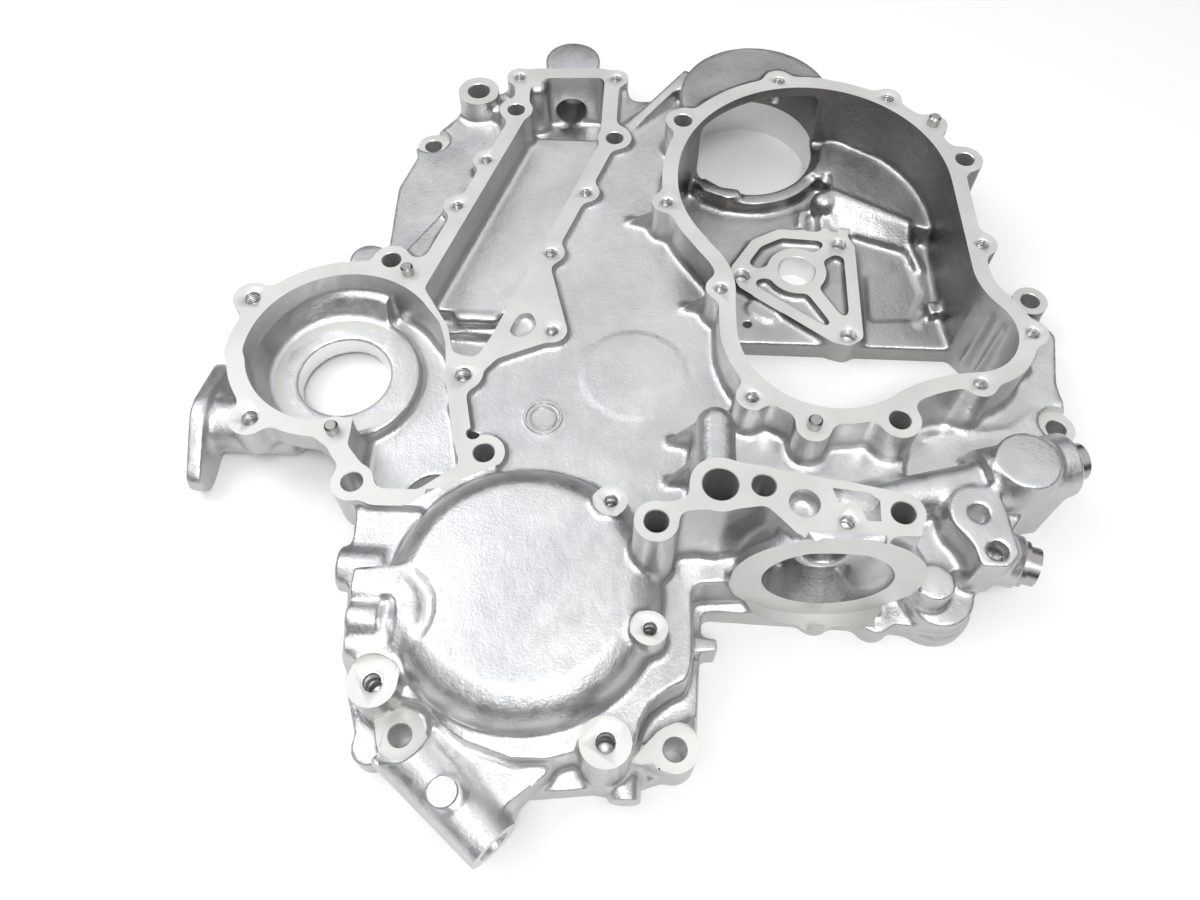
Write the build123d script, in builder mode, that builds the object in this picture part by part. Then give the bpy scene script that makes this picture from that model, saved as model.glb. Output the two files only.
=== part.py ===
from build123d import *
import os

# Engine gear case: one pressure die casting in aluminium, bolted over the timing gears.
# It lies on its rear joint face, with +Z towards the front of the engine.
# The origin is on the axis of the idler bore, in the plane of the rear joint face.

# Levels above the rear joint face
RIM_Z = 12.0
TROUGH_FLOOR_Z = 17.0
SHOULDER_Z = 27.0
DECK_Z = 34.0
COOLANT_Z = 38.0
DRIVE_Z = 54.0
COOLER_Z = 76.0
RIM_BOLT_Z = 22.0

# Casting sections
WALL = 5.0
COLUMN_WALL = 4.3
SHOULDER_ROOF = 6.0
LOBE_BLEND = 5.0

# Screws: clearance holes and tapped holes, with the metal round them
BOLT_R = 4.5
BOLT_LOBE_R = 8.9
TAP_R = 2.5
TAP_LOBE_R = 7.0
TAP_DEPTH = 18.0
BIG_TAP_R = 3.4
BIG_TAP_LOBE_R = 9.0
BOSS_RELIEF = 1.5
DOWEL_R = 3.0
DOWEL_STAND = 5.0
DOWEL_SEAT = 9.0
DOWEL_LOBE_R = 7.5
DOWEL_CHAMFER = 0.8
DRILL_START = 0.5

# Gear window in front of the drive gear, with the relief lobe and the crankshaft end
DRIVE_C = (3.0, 23.2)
DRIVE_R = 66.7
RELIEF_C = (63.4, -66.3)
RELIEF_R = 22.2
CRANK_C = (3.7, -68.2)
CRANK_R = 41.3
DRIVE_LAND = 7.5
DRIVE_TAPPED = [(-11, 95), (45, 84), (-69, 5), (-44, -47), (-32, -105), (65, -94), (92, -66), (78, -15)]
DRIVE_BOLTS = [(-61.1, 62.2), (78.1, 40.5), (28.7, -113.9)]
DRIVE_DOWELS = [(65.6, 65.1), (-7.2, -118.6)]

# Floor of the gear window, with the idler bearing pad
WINDOW_FLOOR_Z = 10.0
WINDOW_FLOOR = 6.0
FLOOR_EDGE_Y = -44.0
PAD_Z = 14.0
IDLER_R = 9.3
IDLER_RING_R = 15.0
IDLER_SCREWS = [(23, 19), (-28, -4), (23, -40)]
IDLER_PAD = [(-34, 0), (-22, 20), (-8, 28), (27, 26), (31, 18), (30, -42), (23, -47), (15, -45), (-30, -12)]
IDLER_SPOKE = 7.0
IDLER_SCREW_R = 3.4
IDLER_SCREW_DEPTH = 8.0
FLOOR_HOLE = (-25.8, -32.5)
FLOOR_HOLE_R = 2.2
FLOOR_PANEL = [(35, 2), (60, 12), (64, -9), (57, -27), (34, -29)]
FLOOR_PANEL_DEPTH = 1.5
BUTTON_C = (-18.0, -25.0)
BUTTON_SIZE = (16.0, 8.0)
BUTTON_TURN = -24.0
BUTTON_RISE = 2.0
FLOOR_UNDERCUT = 2.0
LEDGE = [(10, 100), (21, 45), (61, 31), (72, 20), (80, 100)]

# Rear boss for the injection pump drive
PUMP_C = (-23.0, 84.0)
PUMP_R = 35.0
PUMP_WALL = 4.5
PUMP_Z = 52.5
PUMP_LEDGE_R = 42.5
PUMP_LEDGE_Z = 18.0

# Coolant trough
COOLANT_LAND = 8.0
TROUGH = [(-144, 111), (-103, 113), (-103.5, 62), (-148, -68), (-153, -79), (-164, -77), (-168, -62), (-182, -40), (-145, 76), (-143, 92)]
COOLANT_TAPPED = [(-150, 112), (-97, 113), (-162, 47), (-173, 14), (-109, 26), (-124, -15), (-120, -62)]
COOLANT_BOLTS = [(-149.6, 85.4), (-95.9, 65.9)]
WEB = [(-124, -22), (-114, -58), (-120, -68), (-146, -80), (-150, -60), (-136, -36)]
WEB_WINDOW = [(-140, -64), (-136, -53), (-130, -52), (-127, -59), (-130, -65), (-136, -67)]
THERMOSTAT_Y = 88.0
THERMOSTAT_Z = 6.0
OUTLET_C = (-122.0, 15.0)
OUTLET_R = 8.5
OUTLET_Y = (104.0, 130.0)
OUTLET_BOSS = (-122.0, 134.0)
OUTLET_BOSS_R = 15.5
OUTLET_BOSS_Z = 33.0
TROUGH_TIP_Y = -36.0
TROUGH_TIP_Z = 9.0

# Coolant pump bowl
BOWL_UPPER_C = (-214.9, -77.5)
BOWL_UPPER_R = 44.6
BOWL_LOWER_C = (-218.3, -75.4)
BOWL_LOWER_R = 40.0
BOWL_RIM_Z = 26.0
BOWL_SKIRT_R = 46.0
BOWL_SPLIT_X = -208.0
BOWL_FOOT_R = 37.0
BOWL_FOOT_Z = 4.0
SEAL_C = (-218.5, -76.5)
SEAL_RING_R = 33.0
SEAL_R = 21.8
BOWL_Z = 16.0
VOLUTE = [(-203, -112), (-203, -127), (-190, -142), (-187, -147), (-170, -147), (-154, -134), (-158, -123),
          (-165, -93), (-168, -71), (-172, -60), (-177.4, -53)]
VOLUTE_Z = 9.0
VOLUTE_SPLIT_X = -202.0
VOLUTE_PORT_C = (-169.0, -137.0)
VOLUTE_PORT_R = 13.0
PUMP_TAPPED = [(-158, -88), (-262, -49), (-248, -115)]
PUMP_BOLTS = [(-200.2, -23.1), (-197.9, -144.5), (-144.4, -128.1)]
PUMP_DOWELS = [(-191, -31), (-210.3, -120.3)]
VENT = (-150.0, -118.7)
VENT_R = 2.8

# Outline of the rear rim, of the deck and of the lower shoulders
RIM = [(-206, 78), (-186, 90), (-184, 104), (-152, 122), (-92, 122), (-82, 108), (-58, 112), (12, 108),
       (50, 92), (82, 66), (84, 0), (94, -14), (117, -16), (121, -44), (117, -72), (120, -98),
       (117, -118), (104, -130), (84, -138), (70, -158), (60, -176), (50, -190), (28, -187), (-50, -185),
       (-53, -248), (-75, -256), (-116, -261), (-166, -252), (-184, -246), (-193, -222), (-197, -150),
       (-205, -138), (-208, -20), (-211, 40), (-203, 62)]
DECK = [(-196, -148), (-190, -218), (-184, -229), (-166, -232), (-156, -235), (-149, -241.5), (-140, -247.5),
        (-122, -253), (-108, -252.5), (-97, -249), (-77, -250), (-75.5, -238), (-71.5, -230), (-63.5, -224),
        (-57.5, -221), (-55.5, -211), (-56, -182),
        (-32, -180), (24, -176), (30, -150), (36, -118), (74, 20), (-40, 104), (-88, 100), (-92, 118),
        (-150, 118), (-160, 50), (-200, -20), (-200, -138)]
SHOULDER_LEFT = [(-204, 68), (-186, 84), (-178, 104), (-152, 116), (-150, 60), (-200, -30), (-206, -20), (-208, 36), (-201, 60)]
SHOULDER_RIGHT = [(30, -100), (60, 10), (80, 4), (90, -20), (98, -31), (110, -36), (117, -46), (112, -74), (115, -98),
                  (100, -111), (93, -132), (74, -156), (40, -176), (20, -176)]
RAIL_LUGS = [(-2, -182), (22, -184)]
RAIL_LUG_R = 7.5
CORNER_LUG = (-179, -246)
RIM_BOLTS = [(-195, 73), (111.2, -21.3), (109.4, -95.1)]
RIM_BOLT_LOBE_R = 8.5
TOWER_BOLT = (-170.8, 96.9)
TOWER_R = 11.0
TOWER_HOLE_R = 5.8
TOWER_Z = 40.0

# Webs between bosses: both ends, the height at each end, and the thickness
WEBS = [((-170.8, 96.9), (-195.0, 73.0), 32.0, 20.0, 9.0), ((-170.8, 96.9), (-149.6, 85.4), 35.0, 33.0, 9.0),
        ((-90.0, 75.5), (-57.0, 112.0), 36.0, 45.0, 6.0), ((-152.0, 108.0), (-170.8, 96.9), 20.0, 30.0, 6.0)]

# Dome over the crankshaft oil pump
DOME_C = (-122.0, -190.0)
DOME_R = 55.5
DOME_TOP_R = 44.0
DOME_Z = 50.0
DOME_ROUND = 8.0
CORNER_BOLTS = [(-165.7, -243.5), (-61.6, -244.2)]
COVER_BOSSES = [(-89.4, -154.5), (-73.0, -207.0)]
COVER_BOSS_R = 6.8
COVER_BOSS_Z = 50.0
TALL_BOSS = (-87.7, -249.1)
TALL_BOSS_R = 9.4
TALL_BOSS_Z = 50.0
SIDE_BOSS = (-175.1, -228.9)
SIDE_BOSS_R = 9.6
SIDE_BOSS_Z = 40.0

# Web tails on the corner bosses
CORNER_WEBS = [[(-175, -239), (-164, -232.5), (-158, -236.5), (-154, -243), (-149.5, -249), (-160, -250), (-166, -252.4)],
               [(-71.5, -251), (-70, -242), (-66.5, -236.5), (-53.6, -230.5), (-53.6, -244), (-61, -253)]]

# Ports on the left flank of the dome
PORT_Y = -204.5
PORT_Z = 32.0
PORT_R = 17.4
PORT_X = (-187.5, -154.5)
SMALL_PORT_Y = -179.5
SMALL_PORT_Z = 28.0
SMALL_PORT_R = 9.3
SMALL_PORT_X = (-198.5, -180.0)
PORT_ROUND = 15.0
PORT_LAND = [(-187.5, -187), (-168, -184.5), (-160, -190), (-160, -204), (-187.5, -204)]
PORT_LAND_Z = 48.8

# Inlet nozzle at the lower left corner
NOZZLE_END = (-126.0, -281.0)
NOZZLE_ROOT = (-160.0, -250.0)
NOZZLE_R = 10.5
NOZZLE_ROOT_R = 13.5
NOZZLE_RUN = 8.0
BOLT_HEAD_R = 12.5
NOZZLE_Z = 22.5
NOZZLE_BORE_R = 6.5
NOZZLE_PAD = (-143.0, -265.5)
NOZZLE_PAD_R = 5.8
NOZZLE_PAD_Z = 35.5
NOZZLE_WEB = [(-174, -247), (-152, -262), (-136, -272), (-128, -272), (-108, -256), (-120, -240)]
NOZZLE_WEB_Z = (14.0, 27.0)
NOZZLE_BORE_DEPTH = 30.0

# Coolant inlet under the pump bowl, with its flange
INLET_C = (-104.0, 13.0)
INLET_R = 13.0
INLET_FLANGE_X = (-280.0, -273.0)
INLET_FLANGE_REACH = 24.0
INLET_LUG_R = 8.0
INLET_END_X = -235.0

# Small features round the outside
PAD_RING_C = (-81.7, -82.5)
PAD_RING_R = 23.0
PAD_RING_RISE = 0.6
MARK_C = (-120.1, -107.2)
MARK_R = 8.3
MARK_LINE = 0.8
MARK_RISE = 0.5
REAR_BUMP = (-215.0, -14.0)
REAR_BUMP_R = 9.5
DRAIN_C = (-80.0, 14.0)
DRAIN_R = 6.3
DRAIN_BORE_R = 2.0
DRAIN_END_Y = -263.0
DRAIN_START_Y = -245.0
LUG_C = (-50.0, -200.0)
LUG_SIZE = (12.0, 6.0)
LUG_Z = 14.0
GUSSETS = [((-89, 11), (-68, 5), 50.0), ((-62, -43), (-44, -46), 50.0), ((-67, -117), (-54, -119), 56.0),
           ((-68, -137), (-54, -137), 60.0)]
GUSSET = 3.0

# Oil cooler pad
COOLER_PORT = (-48.8, -159.4)
COOLER_PORT_R = 6.7
COOLER_PORT_LOBE_R = 11.5
COOLER_BOLTS = [(-32.7, -159.2), (17.7, -168.3)]
COOLER_END_BOLT = (-72.4, -175.7)
COOLER_END_R = 8.3
COOLER_POCKET = (-18.1, -166.0)
COOLER_POCKET_R = 6.0
COOLER_POCKET_DEPTH = 8.0
COOLER_TAP = (-2.9, -172.6)
COOLER_TAP_DEPTH = 7.0
COOLER_BODY = [(-51, -148), (16, -159.5), (24, -177.6), (-22, -178), (-32, -167.5), (-46, -170)]
COOLER_NECK = [(-72, -169), (-62, -166), (-56, -158), (-52, -170), (-62, -171), (-69, -180)]
L_POCKET = [(-7, -159.5), (6, -161), (9.5, -164), (9, -172), (4, -172), (3, -166.5), (-5, -164)]
STUB_R = 8.0
STUB_Z = 62.0
STUB_END_Y = -126.0

# Oil filter seat
FILTER_C = (-3.8, 41.0)
FILTER_FACE_Y = -180.8
FILTER_R = 37.4
FILTER_CUP_R = 25.5
FILTER_CUP_DEPTH = 22.0
FILTER_BOSS_R = 13.0
FILTER_BOSS_DEPTH = 10.0
FILTER_THREAD_R = 8.5
FILTER_THREAD_DEPTH = 14.0
FILTER_COLUMN_R = 9.2
FILTER_BODY_LENGTH = 26.0
FILTER_RING = 4.2
FILTER_BODY_R = 33.0

# Oil gallery across the lower right, with its end plugs
GALLERY_Z = 34.0
GALLERY_R = 9.0
GALLERY_START = (-10.0, -152.0)
GALLERY_END = (103.0, -120.5)
GALLERY_END_R = 14.0
GALLERY_COLLAR = 40.0
END_BLOCK = [(82, -140.5), (101, -136.5), (104.8, -130), (98.6, -108), (86, -112)]
DISC = (80.7, -128.5)
DISC_R = 13.5
DISC_Z = 50.0
SENDER = [(59.0, -150.3), (63.8, -166.9)]
SENDER_R = 12.0
SENDER_FOOT = [(47.5, -153), (54.9, -165.4), (56.2, -173.8), (67.2, -173.8), (72.6, -168), (71, -150)]
SENDER_HOLE_R = 4.3
SENDER_Z = 44.0
SENDER_FOOT_Z = 17.0
SENDER_DEPTH = 15.0
ELBOW = (47.5, -175.0)
ELBOW_R = 14.7
ELBOW_Z = 18.0
ELBOW_FOOT_R = 17.0
ELBOW_FOOT_Z = 6.0
END_BOSS = (42.0, -176.0)
END_BOSS_R = 8.0
END_BOSS_Z = 32.0

# Screwed plugs that close the drilled oil ways, with their washers
PLUG_R = 8.0
PLUG_HEAD = 5.0
PLUG_SHANK_R = 6.0
PLUG_SHANK = 9.0
PLUG_SOCKET = 5.0
PLUG_SOCKET_DEPTH = 3.5
WASHER_R = 9.6
WASHER = 1.8
SIDE_PLUG = (77.0, -165.5)
SIDE_PLUG_Z = 30.0
SIDE_PLUG_WAY = (1.0, -0.28)
SIDE_PLUG_BOSS = 12.0


def column(place, radius, top, bottom=0.0):
    """Upright round boss."""
    with Locations((*place, bottom)):
        Cylinder(radius, top - bottom, align=(Align.CENTER, Align.CENTER, Align.MIN))


# Outlines used by more than one feature
with BuildSketch() as drive_window:
    with BuildLine():
        crown = CenterArc(DRIVE_C, DRIVE_R, 0, 180)
        relief = CenterArc(RELIEF_C, RELIEF_R, -88, 133)
        crank = CenterArc(CRANK_C, CRANK_R, 180, 131)
        right_wall = Line(crown @ 0, (DRIVE_C[0] + DRIVE_R + 1.5, -30))
        ThreePointArc(right_wall @ 1, (73.4, -41), relief @ 1)
        ThreePointArc(relief @ 0, (46, -92.3), crank @ 1)
        left_wall = Line(crank @ 0, (CRANK_C[0] - CRANK_R, -52))
        throat = ThreePointArc(left_wall @ 1, (-39.8, -34), (-47, -22))
        slope = Line(throat @ 1, (-55, -10))
        ThreePointArc(slope @ 1, (-61.5, 5), crown @ 1)
    make_face()

with BuildSketch() as drive_flange:
    offset(drive_window.sketch, amount=DRIVE_LAND)
    with Locations(*DRIVE_TAPPED):
        Circle(TAP_LOBE_R)
    with Locations(*DRIVE_BOLTS):
        Circle(BOLT_LOBE_R)
    with Locations(*DRIVE_DOWELS):
        Circle(DOWEL_LOBE_R)
    offset(amount=LOBE_BLEND)
    offset(amount=-LOBE_BLEND)

with BuildSketch() as trough:
    with BuildLine():
        Polyline(*TROUGH, close=True)
    make_face()
    fillet(vertices(), 3.0)
    with Locations(*COOLANT_BOLTS):
        Circle(BOLT_LOBE_R, mode=Mode.SUBTRACT)

with BuildSketch() as bowl:
    with BuildLine():
        lower = CenterArc(BOWL_LOWER_C, BOWL_LOWER_R, 192, 101)
        upper = CenterArc(BOWL_UPPER_C, BOWL_UPPER_R, 33, 150)
        Line(upper @ 1, lower @ 0)
        Polyline(lower @ 1, *VOLUTE, upper @ 0)
    make_face()
    with Locations(*PUMP_BOLTS, *PUMP_TAPPED):
        Circle(BIG_TAP_LOBE_R, mode=Mode.SUBTRACT)
    with Locations(*PUMP_DOWELS):
        Circle(DOWEL_LOBE_R, mode=Mode.SUBTRACT)

with BuildSketch() as coolant_flange:
    offset(trough.sketch, amount=COOLANT_LAND)
    offset(bowl.sketch, amount=COOLANT_LAND, mode=Mode.ADD)
    with BuildLine():
        Polyline(*WEB, close=True)
    make_face()
    with Locations(*COOLANT_TAPPED):
        Circle(TAP_LOBE_R)
    with Locations(*COOLANT_BOLTS):
        Circle(BOLT_LOBE_R)
    with Locations(*PUMP_BOLTS, *PUMP_TAPPED):
        Circle(BIG_TAP_LOBE_R)
    with Locations(*PUMP_DOWELS):
        Circle(DOWEL_LOBE_R)
    offset(amount=LOBE_BLEND)
    offset(amount=-LOBE_BLEND)

with BuildSketch() as rim_outline:
    with BuildLine():
        Polyline(*RIM, close=True)
    make_face()
    fillet(vertices(), 4.0)
    with Locations(*RAIL_LUGS, CORNER_LUG):
        Circle(RAIL_LUG_R)

with BuildSketch() as deck_outline:
    with BuildLine():
        Polyline(*DECK, close=True)
    make_face()
    fillet(vertices(), 5.0)
    with Locations(*CORNER_BOLTS):
        Circle(BOLT_LOBE_R + BOSS_RELIEF, mode=Mode.SUBTRACT)

with BuildSketch() as shoulder_outline:
    with BuildLine():
        Polyline(*SHOULDER_LEFT, close=True)
    make_face()
    with BuildLine():
        Polyline(*SHOULDER_RIGHT, close=True)
    make_face()
    fillet(vertices(), 4.0)
    with Locations(*RIM_BOLTS):
        Circle(RIM_BOLT_LOBE_R + BOSS_RELIEF, mode=Mode.SUBTRACT)

with BuildSketch() as cooler_outline:
    with BuildLine():
        Polyline(*COOLER_BODY, close=True)
    make_face()
    with BuildLine():
        Polyline(*COOLER_NECK, close=True)
    make_face()
    with Locations(COOLER_PORT):
        Circle(COOLER_PORT_LOBE_R)
    with Locations(COOLER_END_BOLT, *COOLER_BOLTS):
        Circle(COOLER_END_R)
    with Locations(COOLER_POCKET):
        Circle(COOLER_POCKET_R + COLUMN_WALL)
    with Locations(COOLER_TAP):
        Circle(TAP_LOBE_R)
    offset(amount=3.0)
    offset(amount=-3.0)

with BuildSketch() as sender_outline:
    with BuildLine():
        Polyline(*SENDER_FOOT, close=True)
    make_face()
    fillet(vertices(), 2.0)
    with Locations(SENDER[0]):
        Circle(SENDER_R)

# Everything that stands on the rear joint face, as solid metal
with BuildPart() as blank:
    add(rim_outline.sketch)
    extrude(amount=RIM_Z)
    with BuildSketch(Plane.XY.offset(RIM_Z)):
        add(deck_outline.sketch)
    extrude(amount=DECK_Z - RIM_Z)
    with BuildSketch(Plane.XY.offset(RIM_Z)):
        add(shoulder_outline.sketch)
    extrude(amount=SHOULDER_Z - RIM_Z)
    with BuildSketch(Plane.XY.offset(RIM_Z)):
        add(drive_flange.sketch)
    extrude(amount=DRIVE_Z - RIM_Z)
    for bolt in DRIVE_BOLTS:
        column(bolt, BOLT_LOBE_R, DRIVE_Z)
    with BuildSketch(Plane.XY.offset(BOWL_RIM_Z)):
        add(coolant_flange.sketch)
    extrude(amount=COOLANT_Z - BOWL_RIM_Z)
    with BuildSketch(Plane.XY.offset(RIM_Z)):
        add(coolant_flange.sketch)
        with Locations((BOWL_SPLIT_X, 0)):
            Rectangle(200, 400, align=(Align.MAX, Align.CENTER), mode=Mode.SUBTRACT)
    extrude(amount=COOLANT_Z - RIM_Z)
    with BuildSketch(Plane.XY.offset(RIM_Z)):
        add(cooler_outline.sketch)
    extrude(amount=COOLER_Z - RIM_Z)
    column(PUMP_C, PUMP_R + PUMP_WALL, PUMP_Z)
    column(OUTLET_BOSS, OUTLET_BOSS_R, OUTLET_BOSS_Z)
    column(PUMP_TAPPED[2], BIG_TAP_LOBE_R, COOLANT_Z, COOLANT_Z - TAP_DEPTH)
    column(PUMP_TAPPED[1], BIG_TAP_LOBE_R, COOLANT_Z, COOLANT_Z - TAP_DEPTH)
    column(TOWER_BOLT, TOWER_R, TOWER_Z)
    for bolt in RIM_BOLTS:
        column(bolt, RIM_BOLT_LOBE_R, RIM_BOLT_Z)
    for bolt in CORNER_BOLTS:
        column(bolt, BOLT_LOBE_R, RIM_BOLT_Z)
    with BuildSketch():
        for web in CORNER_WEBS:
            with BuildLine():
                Polyline(*web, close=True)
            make_face()
    extrude(amount=RIM_BOLT_Z)
    column(SIDE_BOSS, SIDE_BOSS_R, SIDE_BOSS_Z)
    column(TALL_BOSS, TALL_BOSS_R, TALL_BOSS_Z)
    for boss in COVER_BOSSES:
        column(boss, COVER_BOSS_R, COVER_BOSS_Z, RIM_Z)
    column(DISC, DISC_R, DISC_Z)
    column(ELBOW, ELBOW_R, ELBOW_Z)
    column(ELBOW, ELBOW_FOOT_R, ELBOW_FOOT_Z)
    with BuildSketch():
        with BuildLine():
            Polyline(*END_BLOCK, close=True)
        make_face()
    extrude(amount=GALLERY_Z)
    column(END_BOSS, END_BOSS_R, END_BOSS_Z)
    with BuildSketch(Plane.XY.offset(SENDER_FOOT_Z)):
        add(sender_outline.sketch)
    extrude(amount=SENDER_Z - SENDER_FOOT_Z)
    column(REAR_BUMP, REAR_BUMP_R, BOWL_RIM_Z + 2)
    with Locations((*LUG_C, 0)):
        Box(*LUG_SIZE, LUG_Z, align=(Align.CENTER, Align.CENTER, Align.MIN))
    column(PAD_RING_C, PAD_RING_R, DECK_Z + PAD_RING_RISE, DECK_Z - 1)
    with BuildSketch(Plane.XY.offset(DECK_Z)):
        with Locations(MARK_C):
            Circle(MARK_R)
            Circle(MARK_R - MARK_LINE, mode=Mode.SUBTRACT)
    extrude(amount=MARK_RISE)


# Pointed fins that rise from their tips on the deck to the flange lobes, and webs between the bosses
with BuildPart() as fins:
    for tip, root, top in GUSSETS:
        way = Vector(root[0] - tip[0], root[1] - tip[1], 0)
        with BuildSketch(Plane(origin=(*tip, 0), x_dir=way, z_dir=way.rotate(Axis.Z, -90))):
            with BuildLine():
                Polyline((0, DECK_Z - 1), (0, DECK_Z), (way.length, top), (way.length, DECK_Z - 1), close=True)
            make_face()
        extrude(amount=GUSSET / 2, both=True)
    for start, end, start_z, end_z, thickness in WEBS:
        way = Vector(end[0] - start[0], end[1] - start[1], 0)
        with BuildSketch(Plane(origin=(*start, 0), x_dir=way, z_dir=way.rotate(Axis.Z, -90))):
            with BuildLine():
                Polyline((0, 0), (0, start_z), (way.length, end_z), (way.length, 0), close=True)
            make_face()
        extrude(amount=thickness / 2, both=True)

# Dome with a soft crown, standing on the deck
dome_section = Plane(origin=(*DOME_C, 0), x_dir=(1, 0, 0), z_dir=(0, -1, 0))
with BuildPart() as dome:
    with BuildSketch(dome_section):
        with BuildLine():
            Polyline((0, RIM_Z), (DOME_R, RIM_Z), (DOME_R, DECK_Z), (DOME_TOP_R, DOME_Z), (0, DOME_Z), close=True)
        make_face()
    revolve(axis=Axis((*DOME_C, 0), (0, 0, 1)))
    fillet(dome.edges().group_by(Axis.Z)[-1], DOME_ROUND)

# Ports on the left flank of the dome, the larger one ending in a rounded nose
with BuildPart() as flank_ports:
    with BuildSketch(Plane.YZ.offset(PORT_X[0])):
        with Locations((PORT_Y, PORT_Z)):
            Circle(PORT_R)
    extrude(amount=PORT_X[1] - PORT_X[0])
    fillet(flank_ports.edges().group_by(Axis.X)[-1], PORT_ROUND)
    with BuildSketch(Plane.XY.offset(PORT_Z)):
        with BuildLine():
            Polyline(*PORT_LAND, close=True)
        make_face()
    extrude(amount=PORT_LAND_Z - PORT_Z)
    with BuildSketch(Plane.YZ.offset(SMALL_PORT_X[0])):
        with Locations((SMALL_PORT_Y, SMALL_PORT_Z)):
            Circle(SMALL_PORT_R)
    extrude(amount=SMALL_PORT_X[1] - SMALL_PORT_X[0])

# Inlet nozzle at the lower left corner
nozzle_way = Vector(NOZZLE_ROOT[0] - NOZZLE_END[0], NOZZLE_ROOT[1] - NOZZLE_END[1], 0)
nozzle_plane = Plane(origin=(*NOZZLE_END, NOZZLE_Z), z_dir=nozzle_way, x_dir=(0, 0, 1))
with BuildPart() as nozzle:
    with BuildSketch(nozzle_plane):
        Circle(NOZZLE_R)
    with BuildSketch(nozzle_plane.offset(nozzle_way.length + NOZZLE_RUN)):
        Circle(NOZZLE_ROOT_R)
    loft()
    with BuildSketch(Plane.XY.offset(NOZZLE_WEB_Z[0])):
        with BuildLine():
            Polyline(*NOZZLE_WEB, close=True)
        make_face()
    extrude(amount=NOZZLE_WEB_Z[1] - NOZZLE_WEB_Z[0])
    with Locations((*CORNER_BOLTS[0], RIM_BOLT_Z)):
        Cylinder(BOLT_HEAD_R, DOME_Z, align=(Align.CENTER, Align.CENTER, Align.MIN), mode=Mode.SUBTRACT)
    column(NOZZLE_PAD, NOZZLE_PAD_R, NOZZLE_PAD_Z, NOZZLE_Z)
with BuildPart() as nozzle_bore:
    with BuildSketch(nozzle_plane):
        Circle(NOZZLE_BORE_R)
    extrude(amount=NOZZLE_BORE_DEPTH)

# Small drain spout beside the tall boss
drain_plane = Plane(origin=(DRAIN_C[0], DRAIN_END_Y, DRAIN_C[1]), x_dir=(1, 0, 0), z_dir=(0, 1, 0))
with BuildPart() as drain:
    with BuildSketch(drain_plane):
        Circle(DRAIN_R)
    extrude(amount=DRAIN_START_Y - DRAIN_END_Y)
with BuildPart() as drain_bore:
    with BuildSketch(drain_plane):
        Circle(DRAIN_BORE_R)
    extrude(amount=(DRAIN_START_Y - DRAIN_END_Y) / 2)

# Coolant inlet under the pump bowl
inlet_plane = Plane(origin=(INLET_FLANGE_X[0], INLET_C[0], INLET_C[1]), x_dir=(0, 1, 0), z_dir=(1, 0, 0))
with BuildPart() as inlet:
    with BuildSketch(inlet_plane):
        Circle(INLET_R + 3)
        with Locations((-INLET_FLANGE_REACH, -4), (INLET_FLANGE_REACH, 0)):
            Circle(INLET_LUG_R)
        make_hull()
    extrude(amount=INLET_FLANGE_X[1] - INLET_FLANGE_X[0])
    with BuildSketch(inlet_plane):
        Circle(INLET_R)
    extrude(amount=INLET_END_X - INLET_FLANGE_X[0])
    split(bisect_by=Plane.XY, keep=Keep.TOP)

# Oil filter seat, facing down the engine
filter_face = Plane(origin=(FILTER_C[0], FILTER_FACE_Y, FILTER_C[1]), x_dir=(1, 0, 0), z_dir=(0, -1, 0))
with BuildPart() as filter_body:
    with BuildSketch(filter_face):
        Circle(FILTER_R)
    extrude(amount=-FILTER_RING)
    with BuildSketch(filter_face):
        Circle(FILTER_BODY_R)
    extrude(amount=-FILTER_BODY_LENGTH)
with BuildPart() as filter_space:
    with BuildSketch(filter_face):
        Circle(FILTER_CUP_R)
    extrude(amount=-FILTER_CUP_DEPTH)
    with Locations((*COOLER_BOLTS[1], FILTER_C[1])):
        Cylinder(FILTER_COLUMN_R, 4 * FILTER_R, mode=Mode.SUBTRACT)
    with BuildSketch(filter_face.offset(-FILTER_BOSS_DEPTH)):
        Circle(FILTER_BOSS_R)
    extrude(amount=-FILTER_CUP_DEPTH, mode=Mode.SUBTRACT)
with BuildPart() as filter_thread:
    with BuildSketch(filter_face.offset(-FILTER_BOSS_DEPTH)):
        Circle(FILTER_THREAD_R)
    extrude(amount=-FILTER_THREAD_DEPTH)

# Drilled oil gallery across the lower right, and the stub behind the cooler port
gallery_way = Vector(GALLERY_END[0] - GALLERY_START[0], GALLERY_END[1] - GALLERY_START[1], 0)
gallery_start = Plane(origin=(*GALLERY_START, GALLERY_Z), z_dir=gallery_way, x_dir=(0, 0, 1))
gallery_end = Plane(origin=(*GALLERY_END, GALLERY_Z), z_dir=gallery_way, x_dir=(0, 0, 1))
with BuildPart() as gallery:
    with BuildSketch(gallery_start):
        Circle(GALLERY_R)
    extrude(amount=gallery_way.length)
    with BuildSketch(gallery_end):
        Circle(GALLERY_END_R)
    extrude(amount=-GALLERY_COLLAR)
    with BuildSketch(Plane.XY.offset(DECK_Z - 4)):
        with Locations((COOLER_PORT[0], (STUB_END_Y + COOLER_PORT[1]) / 2)):
            Rectangle(2 * STUB_R, STUB_END_Y - COOLER_PORT[1])
        with Locations((COOLER_PORT[0], STUB_END_Y)):
            Circle(STUB_R)
    extrude(amount=STUB_Z - DECK_Z + 4 + STUB_R)
    fillet(gallery.edges().group_by(Axis.Z)[-1], STUB_R - 1.0)

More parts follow.
